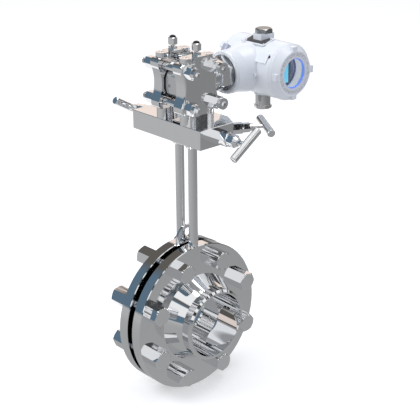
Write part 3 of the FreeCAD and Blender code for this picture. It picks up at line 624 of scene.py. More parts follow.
class Look(Enum):
    """Every finish on the meter."""

    FLANGE = TurnedSteel("flange_polish", rough=0.022)
    PLATE = TurnedSteel("plate_polish", rough=0.05)
    FASTENER = Steel("fastener_steel", rough=0.02, spread=0.02, streak_depth=0.004, wave=0.11,
                     wave_way=(0.12, 1.0, 1.0), wave_scale=230.0)
    CELL_BOLTS = ThreadedSteel("cell_bolt_steel", start=MIDDLE_X - CELL_THREAD_START, pitch=0.0015,
                               rough=0.03)
    TUBE = Steel("tube_polish", streak=(1, 1, 0.04), streak_depth=0.03, rough=0.10, spread=0.05)
    BLOCK = Steel("block_mirror", rough=0.03, spread=0.03, streak_depth=0.008)
    VALVE = Steel("valve_steel", rough=0.025, spread=0.02, streak_depth=0.006, wave=0.20)
    CELL = Steel("cell_polish", rough=0.04, spread=0.03, streak_depth=0.004, wave=0.04)
    MODULE = Steel("module_steel", tone=(0.72, 0.73, 0.75), rough=0.18)
    VENT = Steel("vent_steel", tone=(0.90, 0.905, 0.915), rough=0.10)
    VENT_CAP = Moulded("vent_cap_black", (0.006, 0.006, 0.007), 0.75)
    LUG_PLUG = Steel("lug_plug_steel", tone=(0.92, 0.92, 0.92), rough=0.22)
    WHITE = Paint("white_paint")
    COVER = RingedPaint("cover_paint", face_x=MIDDLE_X + HEAD_HALF + COVER_FACE)
    GASKET = CoredGasket("graphite_gasket")
    SEAL = Moulded("seal_rubber", (0.015, 0.015, 0.016), 0.55)
    # dial colours are a painted reflection of the window's coating
    DIAL = StreakedDial("dial_painted_reflection")
    BEZEL = Moulded("bezel_plastic", (0.010, 0.010, 0.012), 0.35)
    # glowing blue seal: painted reflection at the window glass's edge
    GLASS_RIM = Moulded("window_seal_painted_reflection", (0.12, 0.24, 0.80), 0.3, glow=0.35)
    # glowing liner: painted light on the cover's mouth wall behind the glass
    LINER = Moulded("display_liner_painted_light", (0.62, 0.59, 0.52), 0.45, glow=0.7)
    # grey-lilac paint on the white housing's pad: painted shade
    SHADED = Paint("lock_pad_painted_shade", colour=(0.40, 0.42, 0.52))
    NAMEPLATE = Moulded("nameplate_enamel", (0.035, 0.034, 0.040), 0.42)
    TERMINAL = Moulded("terminal_plastic", (0.03, 0.03, 0.035), 0.5)
    PLUG = Steel("plug_steel", tone=(0.30, 0.31, 0.32), rough=0.20)
    GLAND = Steel("gland_steel", tone=(0.74, 0.745, 0.75), rough=0.07, wave=0.22)
    SWIVEL = Steel("swivel_steel", rough=0.03, spread=0.02, streak_depth=0.006, wave=0.35)
    POSTS = Steel("post_brass", tone=(0.72, 0.56, 0.28), rough=0.15)
    GLASS = WindowGlass("window_glass")
    SCREEN = LitScreen("lit_screen")


NODES_BY_LOOK: dict[Look, tuple[str, ...]] = {
    Look.FLANGE: ("inlet_flange", "outlet_flange"),
    Look.PLATE: ("orifice_plate",),
    Look.GASKET: ("inlet_gasket", "outlet_gasket"),
    Look.FASTENER: ("flange_bolts", "flange_nuts", "foot_screws", "cell_nuts"),
    Look.TUBE: ("inlet_impulse_tube", "outlet_impulse_tube"),
    Look.BLOCK: ("manifold_block",),
    Look.CELL: ("inlet_process_flange", "outlet_process_flange"),
    Look.CELL_BOLTS: ("cell_bolts",),
    Look.MODULE: ("sensor_module",),
    Look.SWIVEL: ("swivel_nut",),
    Look.SEAL: ("inlet_cell_seal", "outlet_cell_seal", "inlet_port_seal", "outlet_port_seal",
                "front_seal_ring", "rear_seal_ring"),
    Look.VENT: ("inlet_vent_seat", "outlet_vent_seat", "inlet_vent_needle", "outlet_vent_needle"),
    Look.VENT_CAP: ("inlet_vent_cap", "outlet_vent_cap"),
    Look.WHITE: ("housing", "rear_cover"),
    Look.COVER: ("front_cover",),
    Look.GLASS: ("window_glass",),
    Look.POSTS: ("display_posts",),
    Look.DIAL: ("display_module",),
    Look.SCREEN: ("display_screen",),
    Look.TERMINAL: ("terminal_block",),
    Look.PLUG: ("conduit_plug",),
    Look.GLAND: ("cable_gland", "gland_nut"),
}


class Finishes:
    """Builds each finish once and puts it on the pieces."""

    def __init__(self) -> None:
        """Start with nothing built."""
        self.made: dict[Look, Any] = {}

    def get(self, look: Look) -> Any:
        """Build a look's material, or find it again.

        Args:
            look: the finish.

        Returns:
            Its material.
        """
        if look not in self.made:
            self.made[look] = look.value.build()
        return self.made[look]

    def dress(self, item: Any, look: Look) -> None:
        """Give a piece one material."""
        item.data.materials.clear()
        item.data.materials.append(self.get(look))

    def dress_frame(self) -> None:
        """Dress every node of the model; valves and tube fittings, which no list names, share one steel."""
        looks = {name: look for look, names in NODES_BY_LOOK.items() for name in names}
        for name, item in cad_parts.items():
            self.dress(item, looks.get(name, Look.VALVE))


@dataclass(frozen=True)
class FloorFinish(Finish):
    """Floor that looks white to the camera, keeps the shadow, and in the metal shows painted light: a grey
    that brightens towards the key lamp, with a bright patch.
    """

    colour: Colour = (0.80, 0.80, 0.80)
    lift: float = 0.42
    mirror_colour: Colour = (0.985, 0.99, 1.0)
    # the mirror fields paint light on the floor as the metal sees it
    mirror_level: float = 0.40
    painted_light_slope: float = 0.062
    mirror_limits: Span = (0.26, 0.50)
    patch_x: Span = (-1.3, -0.13)
    patch_y: Span = (-0.21, 0.7)
    patch_soft: float = 0.03
    painted_patch_light: float = 0.62

    def surface(self, bench: Bench) -> Wire:
        """Lit floor to every ray but a mirrored one, which sees painted light: a slope of grey with a bright
        patch.

        Args:
            bench: where the nodes are added.

        Returns:
            The shader.
        """
        camera, glossy = bench.rays()
        x, y, _ = bench.parts(bench.place())
        # painted light: the floor in the metal is brighter towards the key lamp's side
        level = self.mirror_level - (x + y) * self.painted_light_slope
        level = level.at_most(self.mirror_limits[1]).at_least(self.mirror_limits[0])
        # painted light: a bright patch on the floor, seen only in the metal
        patch = x.between(*self.patch_x, self.patch_soft) * y.between(*self.patch_y, self.patch_soft)
        lit = bench.node("ShaderNodeBsdfDiffuse", {}, {"Color": self.colour})
        lift = bench.node("ShaderNodeEmission", {}, {"Color": WHITE, "Strength": camera * self.lift})
        seen = bench.node("ShaderNodeAddShader", {}, {0: lit, 1: lift})
        mirror = bench.node("ShaderNodeEmission", {}, {
            "Color": self.mirror_colour, "Strength": level + patch * self.painted_patch_light})
        return bench.node("ShaderNodeMixShader", {}, {0: glossy, 1: seen, 2: mirror})


class Pattern(Enum):
    """What a panel of the room carries."""

    PLAIN = "plain"
    BARS = "bars"
    SHELF = "shelf"


@dataclass(frozen=True)
class Panel:
    """A panel on the room's wall, by degrees round the room and by height from -1 to 1."""

    around: Span
    height: Span
    colour: Colour
    pattern: Pattern = Pattern.PLAIN
    strength: float = 1.0
    side_soft: float = 1.5
    top_soft: float = 0.02


ROOM_PANELS = (
    Panel((-172.0, -112.0), (-1.0, 0.01), PALE, top_soft=0.04),
    Panel((-112.0, -70.0), (0.28, 0.66), WHITE, strength=0.95),
    Panel((-70.0, 78.0), (0.02, 0.80), (0.075, 0.078, 0.080)),
    Panel((-70.0, 78.0), (0.02, 0.80), (0.016, 0.016, 0.018), Pattern.SHELF),
    Panel((-66.0, 74.0), (0.06, 0.74), WHITE, Pattern.BARS),
    Panel((104.0, 152.0), (0.12, 0.56), (1.0, 0.86, 0.78), side_soft=2.0, top_soft=0.03),
)


@dataclass
class Studio:
    """Pale floor, soft light, a bright room for the metal to mirror, and the camera."""

    target: tuple[float, float, float] = (0.1182, 0.0, 0.1868)
    azimuth: float = 42.72
    elevation: float = 21.95
    roll: float = -0.31
    distance: float = 1.6792
    lens: float = 96.986
    sensor: float = 36.0
    farthest: float = 60.0
    floor_z: float = -0.1193
    floor_side: float = 24.0
    brown_from: float = 0.71
    brown_way: Span = (-0.73, 0.68)
    brown_back: float = 0.35
    white_from: float = 0.77
    wide_bars: float = 13.0
    fine_bars: float = 5.9
    fine_share: float = 0.7
    steps: float = 0.23

    def camera(self) -> None:
        """Place the camera at the photograph's viewing angle."""
        across, up = math.radians(self.azimuth), math.radians(self.elevation)
        away = Vector((math.cos(up) * math.cos(across), -math.cos(up) * math.sin(across), math.sin(up)))
        right = Vector((0, 0, 1)).cross(away).normalized()
        top = away.cross(right)
        lean = math.radians(self.roll)
        side = right * math.cos(lean) + top * math.sin(lean)
        head = top * math.cos(lean) - right * math.sin(lean)
        data = bpy.data.cameras.new("view")
        data.sensor_fit = "HORIZONTAL"
        data.sensor_width = self.sensor
        data.lens = self.lens
        data.clip_end = self.farthest
        item = bpy.data.objects.new("view", data)
        bpy.context.collection.objects.link(item)
        turned = Matrix((side, head, away)).transposed().to_4x4()
        item.matrix_world = Matrix.Translation(Vector(self.target) + away * self.distance) @ turned
        bpy.context.scene.camera = item

    def floor(self) -> None:
        bpy.ops.object.select_all(action="DESELECT")
        bpy.ops.mesh.primitive_plane_add(size=self.floor_side, location=(0, 0, self.floor_z))
        item = bpy.context.object
        item.name = "studio_floor"
        item.data.materials.append(FloorFinish("studio_floor").build())

    def walls(self, bench: Bench) -> Wire:
        """Build what the metal mirrors: two wall colours, the panels, a white top and a grey foot.

        Args:
            bench: the world's bench.

        Returns:
            The room's colour in each direction.
        """
        x, y, z = bench.parts(bench.node("ShaderNodeTexCoord", out="Generated"))
        angle = y.turn_from(x) * (180 / math.pi)
        high = z.between(self.brown_from, OVER_ALL, 0.03)
        back = (x * self.brown_way[0] + y * self.brown_way[1]).between(self.brown_back, OVER_ALL, 0.15)
        seen = bench.mix((high + back).clamp(), BLUE_WALL, BROWN_WALL)
        wide = (angle * (FULL_TURN / self.wide_bars) + z * 5.0).sine()
        fine = (angle * (FULL_TURN / self.fine_bars) - z * 8.0).sine()
        stripes = wide + fine * self.fine_share
        steps = (z * (FULL_TURN / self.steps) + angle * 0.05).sine()
        patterns = {
            Pattern.BARS: (stripes + steps * 0.6).between(-0.25, 4.0, 0.15),
            Pattern.SHELF: (stripes * -1.0 + steps * 0.5).between(0.75, 4.0, 0.15),
        }
        for panel in ROOM_PANELS:
            height = z.between(*panel.height, panel.top_soft)
            if panel.pattern in patterns:
                height = height * patterns[panel.pattern]
            around = angle.between(*panel.around, panel.side_soft)
            seen = bench.mix(around * height * panel.strength, seen, panel.colour)
        seen = bench.mix(z.between(self.white_from, OVER_ALL, 0.03), seen, WHITE)
        return bench.mix((z * -1.0).between(0.0, OVER_ALL, 0.02), seen, LOW_GREY)

    def room(self) -> None:
        """World: white behind the object, soft light on it, and the room in the metal."""
        world = bpy.data.worlds.new("room")
        bpy.context.scene.world = world
        world.use_nodes = True
        bench = Bench(world.node_tree)
        camera, glossy = bench.rays()
        _, _, z = bench.parts(bench.node("ShaderNodeTexCoord", out="Generated"))
        soft = bench.mix((z * 0.6 + 0.45).clamp(), SOFT_LOW, SOFT_HIGH)
        light = bench.mix(glossy, soft, self.walls(bench))
        final = bench.mix(camera, light, WHITE)
        background = bench.node("ShaderNodeBackground", {}, {"Color": final, "Strength": 1.0})
        bench.end(background, "ShaderNodeOutputWorld")

    def lamp(self, name: str, place: Sequence[float], aim: Sequence[float], size: float,
             power: float) -> None:
        """Add one soft square lamp.

        Args:
            name: the lamp's name.
            place: where it hangs.
            aim: the point it faces.
            size: its side.
            power: its power in watts.
        """
        data = bpy.data.lights.new(name, "AREA")
        data.size = size
        data.energy = power
        item = bpy.data.objects.new(name, data)
        bpy.context.collection.objects.link(item)
        item.location = place
        item.rotation_euler = (Vector(aim) - Vector(place)).to_track_quat("-Z", "Y").to_euler()

    def build(self) -> None:
        """Set the stage."""
        bpy.context.scene.view_settings.view_transform = "Standard"
        self.camera()
        self.floor()
        self.room()
        self.lamp("key_lamp", (-0.9, -1.5, 2.1), (0.1, 0.0, 0.2), 1.1, 26.0)
        self.lamp("top_lamp", (0.3, 0.5, 2.6), (0.1, 0.1, 0.2), 1.4, 20.0)
        log.info("studio ready")


@dataclass(frozen=True)
class Shop:
    """Makes pieces with Blender's modelling tools, each about its own Z axis."""

    chamfer_wide: float = 0.60
    chamfer_face: float = 0.475
    chamfer_slope: float = 0.58
    chamfer_sides: int = 48
    clear: float = 0.001

    def alone(self, item: Any) -> None:
        """Select one piece and nothing else.

        Args:
            item: the piece.
        """
        bpy.ops.object.select_all(action="DESELECT")
        item.select_set(True)
        bpy.context.view_layer.objects.active = item

    def tidy(self, item: Any) -> Any:
        """Merge doubled points, turn the normals outward and smooth all but the sharp edges.

        Args:
            item: the piece.

        Returns:
            The piece.
        """
        self.alone(item)
        bpy.ops.object.mode_set(mode="EDIT")
        bpy.ops.mesh.select_all(action="SELECT")
        bpy.ops.mesh.remove_doubles(threshold=MERGE)
        bpy.ops.mesh.normals_make_consistent(inside=False)
        bpy.ops.object.mode_set(mode="OBJECT")
        bpy.ops.object.shade_smooth_by_angle(angle=math.radians(SMOOTH_BELOW))
        return item

    def turned(self, name: str, profile: Sequence[Span], segments: int = 64) -> Any:
        """Turn a piece on the Z axis.

        Args:
            name: the piece's name.
            profile: radius and height of each corner, in order.
            segments: sides of each ring.

        Returns:
            The new object.
        """
        bpy.ops.object.select_all(action="DESELECT")
        bpy.ops.mesh.primitive_circle_add(vertices=segments, radius=profile[0][0], location=(0, 0, 0))
        item = bpy.context.object
        item.name = name
        bpy.ops.object.mode_set(mode="EDIT")
        bpy.ops.mesh.select_all(action="SELECT")
        bpy.ops.transform.translate(value=(0, 0, profile[0][1]))
        for (radius, height), (wider, higher) in zip(profile, profile[1:]):
            bpy.ops.mesh.extrude_edges_move(TRANSFORM_OT_translate={"value": (0, 0, higher - height)})
            share = wider / radius
            bpy.ops.transform.resize(value=(share, share, 1.0), center_override=(0, 0, higher))
        bpy.ops.object.mode_set(mode="OBJECT")
        return self.tidy(item)

    def common(self, item: Any, tool: Any) -> Any:
        """Keep what a piece shares with a tool, and drop the tool.

        Args:
            item: the piece.
            tool: the piece that cuts it.

        Returns:
            The cut piece.
        """
        self.alone(item)
        change = item.modifiers.new("cut", "BOOLEAN")
        change.operation = "INTERSECT"
        change.solver = "EXACT"
        change.object = tool
        bpy.ops.object.modifier_apply(modifier=change.name)
        bpy.data.objects.remove(tool)
        return item

    def hexagon(self, name: str, across: float, low: float, high: float, both: bool = True) -> Any:
        """Make a hexagon with turned chamfers, its flats square to its own X axis.

        Args:
            name: the piece's name.
            across: width across flats.
            low: height of its lower end.
            high: height of its upper end.
            both: whether the lower end is chamfered as the upper one is.

        Returns:
            The new object.
        """
        bpy.ops.object.select_all(action="DESELECT")
        bpy.ops.mesh.primitive_cylinder_add(vertices=6, radius=across / math.sqrt(3), depth=high - low,
                                            location=(0, 0, (low + high) / 2))
        item = bpy.context.object
        item.name = name
        bpy.ops.object.transform_apply(location=True, rotation=True, scale=True)
        wide, face = across * self.chamfer_wide, across * self.chamfer_face
        drop = (wide - face) * self.chamfer_slope
        if both:
            profile = [(POLE, low), (face, low), (wide, low + drop)]
        else:
            profile = [(POLE, low - self.clear), (wide, low - self.clear)]
        profile += [(wide, high - drop), (face, high), (POLE, high)]
        return self.tidy(self.common(item, self.turned("chamfer_tool", profile, self.chamfer_sides)))

    def slab(self, name: str, size: Sequence[float], soften: float) -> Any:
        """Make a block with rounded edges about its own middle.

        Args:
            name: the piece's name.
            size: its three sides.
            soften: radius of its edges.

        Returns:
            The new object.
        """
        bpy.ops.object.select_all(action="DESELECT")
        bpy.ops.mesh.primitive_cube_add(size=1.0, location=(0, 0, 0))
        item = bpy.context.object
        item.name = name
        item.scale = tuple(size)
        bpy.ops.object.transform_apply(location=False, rotation=False, scale=True)
        bpy.ops.object.mode_set(mode="EDIT")
        bpy.ops.mesh.select_all(action="SELECT")
        bpy.ops.mesh.bevel(offset=soften, segments=3, affect="EDGES")
        bpy.ops.object.mode_set(mode="OBJECT")
        return self.tidy(item)

    def copy(self, item: Any) -> Any:
        """Copy a piece with a mesh of its own.

        Args:
            item: the model.

        Returns:
            The copy.
        """
        twin = item.copy()
        twin.data = item.data.copy()
        bpy.context.collection.objects.link(twin)
        return twin

    def join(self, items: Sequence[Any], name: str) -> Any:
        """Make one object of several.

        Args:
            items: the objects.
            name: what the one object is called.

        Returns:
            The one object.
        """
        self.alone(items[0])
        for item in items[1:]:
            item.select_set(True)
        bpy.ops.object.join()
        items[0].name = name
        return items[0]

    def settle(self, item: Any, origin: Sequence[float], across: Sequence[float], up: Sequence[float]) -> Any:
        """Put a piece in its place and keep that in its mesh.

        Args:
            item: the piece.
            origin: the point where the piece's own origin goes.
            across: the direction of its own X.
            up: the direction of its own Z.

        Returns:
            The piece.
        """
        top = Vector(up).normalized()
        side = Vector(across).normalized()
        turned = Matrix((side, top.cross(side), top)).transposed().to_4x4()
        item.matrix_world = Matrix.Translation(Vector(origin)) @ turned
        self.alone(item)
        bpy.ops.object.transform_apply(location=True, rotation=True, scale=True)
        return item

    def stand(self, item: Any, origin: Sequence[float]) -> Any:
        """Stand a piece upright at a point."""
        return self.settle(item, origin, (1, 0, 0), (0, 0, 1))

    def lay(self, item: Any, origin: Sequence[float]) -> Any:
        """Lay a piece's own Z along X at a point."""
        return self.settle(item, origin, (0, 1, 0), (1, 0, 0))


class Assembly:
    """Base of the sub-assemblies: makes pieces, dresses them and ties them to the frame."""

    def __init__(self, shop: Shop, finishes: Finishes) -> None:
        """Keep the tools."""
        self.shop = shop
        self.finishes = finishes

    def fit(self, item: Any, look: Look, body: str, slot: str, *instead: str) -> Any:
        """Dress a piece and tie it to the frame.

        Args:
            item: the piece.
            look: its finish.
            body: the body it moves with.
            slot: its material slot; not used.
            instead: the nodes it stands in for.

        Returns:
            The piece.
        """
        self.finishes.dress(item, look)
        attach(item, body)
        if instead:
            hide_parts(*instead)
        return item


@dataclass(frozen=True)
class BoltSizes:
    """Flange bolts and nuts, along X from the orifice plate's middle."""

    middle: float = MIDDLE_X
    circle: float = 0.096
    count: int = 8
    seat: float = 0.0237
    head: float = 0.020
    nut: float = 0.0385
    across: float = 0.027
    shank: float = 0.008
    root: float = 0.0070
    pitch: float = 0.002
    crest_at: float = 0.35
    root_at: float = 0.85
    end: float = -0.0647
    end_break: float = 0.0004
    lead: float = 0.0006
    run_in: float = 0.002
    sunk: float = 0.001


class FlangeBolts(Assembly):
    """Eight hexagon bolts with turned threads, and their nuts."""

    def bolt(self, size: BoltSizes) -> Any:
        """Model one bolt along its own Z axis.

        Args:
            size: the bolts' sizes.

        Returns:
            The bolt.
        """
        head = self.shop.hexagon("head", size.across, size.seat, size.seat + size.head, both=False)
        profile = [(POLE, size.end), (size.root - size.end_break, size.end)]
        height = size.end + size.lead
        while height < -size.seat - size.nut + size.run_in:
            profile += [(size.shank, height + size.pitch * size.crest_at),
                        (size.root, height + size.pitch * size.root_at)]
            height += size.pitch
        neck = size.seat + size.sunk
        profile += [(size.shank, height + size.end_break), (size.shank, neck), (POLE, neck)]
        return self.shop.join([head, self.shop.turned("shank", profile, 40)], "bolt")

    def build(self, size: BoltSizes = BoltSizes()) -> None:
        """Model one bolt and one nut, and copy them round the circle.

        Args:
            size: the bolts' sizes.
        """
        bolt = self.bolt(size)
        nut = self.shop.hexagon("nut", size.across, -size.seat - size.nut, -size.seat)
        bolts, nuts = [], []
        for index in range(size.count):
            turn = math.radians((index + 0.5) * 360.0 / size.count)
            radial = (0.0, -math.sin(turn), math.cos(turn))
            place = (size.middle, radial[1] * size.circle, radial[2] * size.circle)
            for model, kept in ((bolt, bolts), (nut, nuts)):
                kept.append(self.shop.settle(self.shop.copy(model), place, radial, (1, 0, 0)))
        for model in (bolt, nut):
            bpy.data.objects.remove(model)
        bolt_set = self.shop.join(bolts, "flange_bolt_set")
        self.fit(bolt_set, Look.FASTENER, "meter", "fastener_steel", "flange_bolts")
        nut_set = self.shop.join(nuts, "flange_nut_set")
        self.fit(nut_set, Look.FASTENER, "meter", "fastener_steel", "flange_nuts")


@dataclass(frozen=True)
class CellSizes:
    """Details on the measuring cell."""

    middle: float = MIDDLE_X
    vent_x: float = 0.02565
    cap_low: float = 0.4241
    cap_high: float = 0.4376
    cap_across: float = 0.0124
    dome: float = 0.0030
    dome_sunk: float = 0.0002
    dome_radius: float = 0.0047
    dome_steps: tuple[Span, ...] = ((0.0047, 0.0008), (0.0041, 0.0019), (0.0026, 0.0027))
    lug_y: float = 0.02065
    lug_top: float = 0.4166
    lug_depth: float = 0.003
    lug_break: float = 0.0004
    tap: float = 0.00475
    socket_mouth: float = 0.0022
    socket_foot: float = 0.0020
    socket_depth: float = 0.0012
    seal_x: Span = (0.0132, 0.01565)
    seal_bore: float = 0.020
    seal_radius: float = 0.0245
    axis_z: float = 0.372
    port_place: tuple[float, float, float] = (-0.006, -0.025, 0.370)
    port_outline: tuple[Span, ...] = (
        (POLE, -0.001), (0.0022, -0.001), (0.0022, 0.0001), (0.0014, 0.0001), (0.0012, -0.0006),
        (POLE, -0.0006))


class CellDetails(Assembly):
    """Vent caps, lug plugs and the seal rings of the measuring cell."""

    def vent(self, size: CellSizes, side: str, place: Sequence[float]) -> None:
        """Model one vent cap: a hexagon with a black dome on it.

        Args:
            size: the cell's sizes.
            side: inlet or outlet.
            place: the foot of the vent's axis.
        """
        top = size.cap_high - size.dome
        knob = side + "_vent_knob"
        cap = self.shop.hexagon(side + "_vent_hexagon", size.cap_across, size.cap_low, top)
        self.fit(self.shop.stand(cap, place), Look.VENT, knob, "vent_steel", side + "_vent_cap")
        foot = top - size.dome_sunk
        steps = [(radius, top + rise) for radius, rise in size.dome_steps]
        profile = [(POLE, foot), (size.dome_radius, foot), *steps, (POLE, size.cap_high)]
        dome = self.shop.turned(side + "_vent_dome", profile, 40)
        self.fit(self.shop.stand(dome, place), Look.VENT_CAP, knob, "vent_cap")

    def seal(self, size: CellSizes, side: str, sign: int) -> None:
        """Model the ring that shows between the cell and one process flange.

        Args:
            size: the cell's sizes.
            side: inlet or outlet.
            sign: -1 on the inlet's side and 1 on the outlet's.
        """
        low, high = sorted(sign * reach for reach in size.seal_x)
        ring = self.shop.turned(side + "_cell_ring", [
            (size.seal_bore, low), (size.seal_radius, low), (size.seal_radius, high), (size.seal_bore, high),
            (size.seal_bore, low)], 72)
        self.shop.lay(ring, (size.middle, 0.0, size.axis_z))
        self.fit(ring, Look.SEAL, "meter", "seal_rubber", side + "_cell_seal")

    def plugs(self, size: CellSizes) -> None:
        """Model the four socket plugs in the process flanges' lugs.

        Args:
            size: the cell's sizes.
        """
        top = size.lug_top
        profile = [
            (POLE, top - size.lug_depth), (size.tap, top - size.lug_depth), (size.tap, top - size.lug_break),
            (size.tap - size.lug_break, top), (size.socket_mouth, top),
            (size.socket_foot, top - size.socket_depth), (POLE, top - size.socket_depth)]
        plugs = []
        for x in (-size.vent_x, size.vent_x):
            for y in (-size.lug_y, size.lug_y):
                plug = self.shop.turned("plug", profile, 36)
                plugs.append(self.shop.stand(plug, (size.middle + x, y, 0.0)))
        self.fit(self.shop.join(plugs, "lug_plugs"), Look.LUG_PLUG, "meter", "plug")

    def port(self, size: CellSizes) -> None:
        """Model the small port in the middle of the cell, black as painted shade in its hole.

        Args:
            size: the cell's sizes.
        """
        port = self.shop.turned("module_port", size.port_outline, 28)
        x, y, z = size.port_place
        self.shop.settle(port, (size.middle + x, y, z), (1, 0, 0), (0, -1, 0))
        # black stands in for the shade inside the port's hole: painted shade
        self.fit(port, Look.BEZEL, "meter", "plug")

    def build(self, size: CellSizes = CellSizes()) -> None:
        """Model every detail of the cell.

        Args:
            size: the cell's sizes.
        """
        for side, sign in (("inlet", -1), ("outlet", 1)):
            self.vent(size, side, (size.middle + sign * size.vent_x, 0.0, 0.0))
            self.seal(size, side, sign)
        self.plugs(size)
        self.port(size)


@dataclass(frozen=True)
class HeadSizes:
    """Details on the transmitter housing, whose axis lies along X."""

    middle: float = MIDDLE_X
    axis_y: float = HEAD_AXIS_Y
    axis_z: float = HEAD_AXIS_Z
    plate_turn: float = 16.0
    frame_out: Span = (0.0425, 0.0443)
    frame_x: Span = (-0.0150, 0.0310)
    frame_half: float = 0.0123
    frame_edge: float = 0.0007
    plate_x: Span = (-0.0115, 0.0290)
    plate_half: float = 0.0100
    plate_rise: float = 0.0003
    plate_thick: float = 0.001
    plate_edge: float = 0.0002
    rivet_inset: float = 0.0018
    rivet_outline: tuple[Span, ...] = ((0.0009, -0.0003), (0.0009, 0.0001), (0.0005, 0.0004), (POLE, 0.0005))
    screw_turn: float = 51.0
    screw_x: float = 0.0530
    screw_out: float = 0.0434
    screw_outline: tuple[Span, ...] = (
        (0.0020, -0.002), (0.0020, 0.0004), (0.0017, 0.0007), (0.0011, 0.0007), (0.0010, -0.0004),
        (POLE, -0.0004))
    lock_turn: float = 57.0
    lock_out: Span = (0.0415, 0.0495)
    lock_half: float = 0.0078
    lock_x: Span = (-0.0412, -0.0310)
    lock_edge: float = 0.0012
    seal_outline: tuple[Span, ...] = (
        (0.0214, 0.0699), (0.0231, 0.0699), (0.0231, 0.0716), (0.0224, 0.0720), (0.0214, 0.0712),
        (0.0214, 0.0699))
    screen_y: Span = (0.1405, 0.1632)
    screen_z: Span = (0.3510, 0.3900)
    screen_x: Span = (-0.0010, 0.0002)
    bezel_y: Span = (0.1385, 0.1690)
    bezel_z: Span = (0.3490, 0.3920)
    bezel_x: Span = (-0.0016, 0.0001)
    tile_edge: float = 0.0003
    dial_x: float = 0.0520
    dial_outline: tuple[Span, ...] = (
        (POLE, -0.010), (0.0250, -0.010), (0.0257, -0.0094), (0.0257, -0.0006), (0.0251, 0.0), (0.0236, 0.0),
        (0.0232, -0.0006), (POLE, -0.0006))
    liner_radius: Span = (0.0259, 0.0272)
    liner_x: Span = (0.0003, 0.0110)

    def outward(self, turn: float) -> Vector:
        """Direction square to the barrel, so many degrees from the top towards the front."""
        angle = math.radians(turn)
        return Vector((0.0, -math.sin(angle), math.cos(angle)))

    def on_axis(self, x: float) -> Vector:
        """Point on the housing's axis, x from its middle."""
        return Vector((self.middle + x, self.axis_y, self.axis_z))


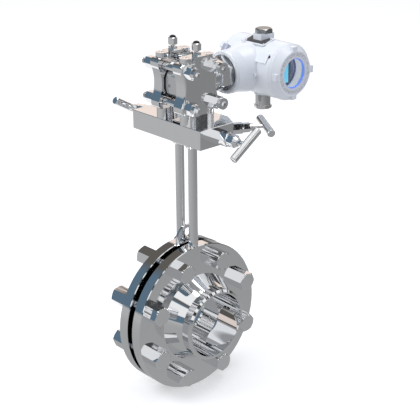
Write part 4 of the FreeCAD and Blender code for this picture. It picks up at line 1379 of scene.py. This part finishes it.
class HeadDetails(Assembly):
    """Nameplate, lock screws, window rim and display of the transmitter."""

    def pad(self, size: HeadSizes, name: str, turn: float, reach: Span, half: float, along: Span,
            soften: float) -> Any:
        """Make a flat pad on the barrel.

        Args:
            size: the housing's sizes.
            name: the pad's name.
            turn: degrees from the top towards the front.
            reach: its lower and upper height from the axis.
            half: half its width.
            along: where it starts and ends along X.
            soften: radius of its edges.

        Returns:
            The pad in its place.
        """
        item = self.shop.slab(name, (along[1] - along[0], half * 2, reach[1] - reach[0]), soften)
        out = size.outward(turn)
        middle = size.on_axis(sum(along) / 2) + out * (sum(reach) / 2)
        return self.shop.settle(item, middle, (1, 0, 0), out)

    def nameplate(self, size: HeadSizes) -> None:
        """Bare dark plate in a raised white frame, with four rivets.

        Args:
            size: the housing's sizes.
        """
        rim = self.pad(size, "nameplate_frame", size.plate_turn, size.frame_out, size.frame_half,
                       size.frame_x, size.frame_edge)
        self.fit(rim, Look.WHITE, "transmitter", "white_paint")
        top = size.frame_out[1] + size.plate_rise
        plate = self.pad(size, "nameplate", size.plate_turn, (top - size.plate_thick, top), size.plate_half,
                         size.plate_x, size.plate_edge)
        self.fit(plate, Look.NAMEPLATE, "transmitter", "dark_plastic")
        rivets = []
        out = size.outward(size.plate_turn)
        aside = Vector((0.0, out.z, -out.y))
        inset = size.rivet_inset
        for x in (size.plate_x[0] + inset, size.plate_x[1] - inset):
            for y in (-size.plate_half + inset, size.plate_half - inset):
                rivet = self.shop.turned("rivet", size.rivet_outline, 20)
                place = size.on_axis(x) + out * top + aside * y
                rivets.append(self.shop.settle(rivet, place, (1, 0, 0), out))
        self.fit(self.shop.join(rivets, "nameplate_rivets"), Look.FASTENER, "transmitter", "fastener_steel")

    def locks(self, size: HeadSizes) -> None:
        """Socket screw behind the front cover, black as painted shade of a hole, and the pad by the rear one,
        grey-lilac as painted shade.

        Args:
            size: the housing's sizes.
        """
        out = size.outward(size.screw_turn)
        # the lock screw is black as painted shade: it stands in for a dark hole in the collar
        screw = self.shop.turned("front_lock_screw", size.screw_outline, 28)
        place = size.on_axis(size.screw_x) + out * size.screw_out
        self.fit(self.shop.settle(screw, place, (1, 0, 0), out), Look.BEZEL, "transmitter", "dark_plastic")
        # the rear pad's grey-lilac colour is painted shade
        pad = self.pad(size, "rear_lock_pad", size.lock_turn, size.lock_out, size.lock_half, size.lock_x,
                       size.lock_edge)
        self.fit(pad, Look.SHADED, "transmitter", "grey_paint")

    def window(self, size: HeadSizes) -> None:
        """Glowing blue seal that shows as a line round the glass: a painted reflection of the glass's edge.

        Args:
            size: the housing's sizes.
        """
        ring = self.shop.turned("window_seal", size.seal_outline, 96)
        self.fit(self.shop.lay(ring, size.on_axis(0.0)), Look.GLASS_RIM, "front_lid", "window")

    def tile(self, size: HeadSizes, name: str, wide: Span, tall: Span, deep: Span) -> Any:
        """Make an upright tile on the dial.

        Args:
            size: the housing's sizes.
            name: the tile's name.
            wide: where it starts and ends along Y.
            tall: where it starts and ends along Z.
            deep: where it starts and ends along X, from the dial's face.

        Returns:
            The tile in its place.
        """
        low, high = size.dial_x + deep[0], size.dial_x + deep[1]
        item = self.shop.slab(name, (high - low, wide[1] - wide[0], tall[1] - tall[0]), size.tile_edge)
        place = (size.middle + (low + high) / 2, sum(wide) / 2, sum(tall) / 2)
        return self.shop.stand(item, place)

    def display(self, size: HeadSizes) -> None:
        """Dial with a dished rim, a cream liner that glows as painted light, black bezel and lit panel.

        Args:
            size: the housing's sizes.
        """
        x = size.dial_x
        outline = [(radius, x + depth) for radius, depth in size.dial_outline]
        dial = self.shop.turned("display_dial", outline, 96)
        self.shop.lay(dial, size.on_axis(0.0))
        self.fit(dial, Look.DIAL, "transmitter", "dark_plastic", "display_module")
        # the cream liner glows: painted light on the mouth's wall behind the glass
        inner, outer = size.liner_radius
        near, far = x + size.liner_x[0], x + size.liner_x[1]
        liner = self.shop.turned("display_liner", [
            (inner, near), (outer, near), (outer, far), (inner, far), (inner, near)], 96)
        self.fit(self.shop.lay(liner, size.on_axis(0.0)), Look.LINER, "transmitter", "white_paint")
        bezel = self.tile(size, "display_bezel", size.bezel_y, size.bezel_z, size.bezel_x)
        self.fit(bezel, Look.BEZEL, "transmitter", "dark_plastic")
        panel = self.tile(size, "display_panel", size.screen_y, size.screen_z, size.screen_x)
        self.fit(panel, Look.SCREEN, "transmitter", "screen", "display_screen")

    def build(self, size: HeadSizes = HeadSizes()) -> None:
        """Model every detail of the head.

        Args:
            size: the housing's sizes.
        """
        self.nameplate(size)
        self.locks(size)
        self.window(size)
        self.display(size)


def main() -> None:
    """Build the studio, dress the model, add the modelled details and report."""
    logging.basicConfig(level=logging.INFO, format="%(name)s: %(message)s")
    Studio().build()
    finishes = Finishes()
    finishes.dress_frame()
    log.info("dressed %d nodes", len(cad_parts))
    shop = Shop()
    for assembly in (FlangeBolts, CellDetails, HeadDetails):
        assembly(shop, finishes).build()
        log.info("%s built", assembly.__name__)


if __name__ == "__main__":
    main()
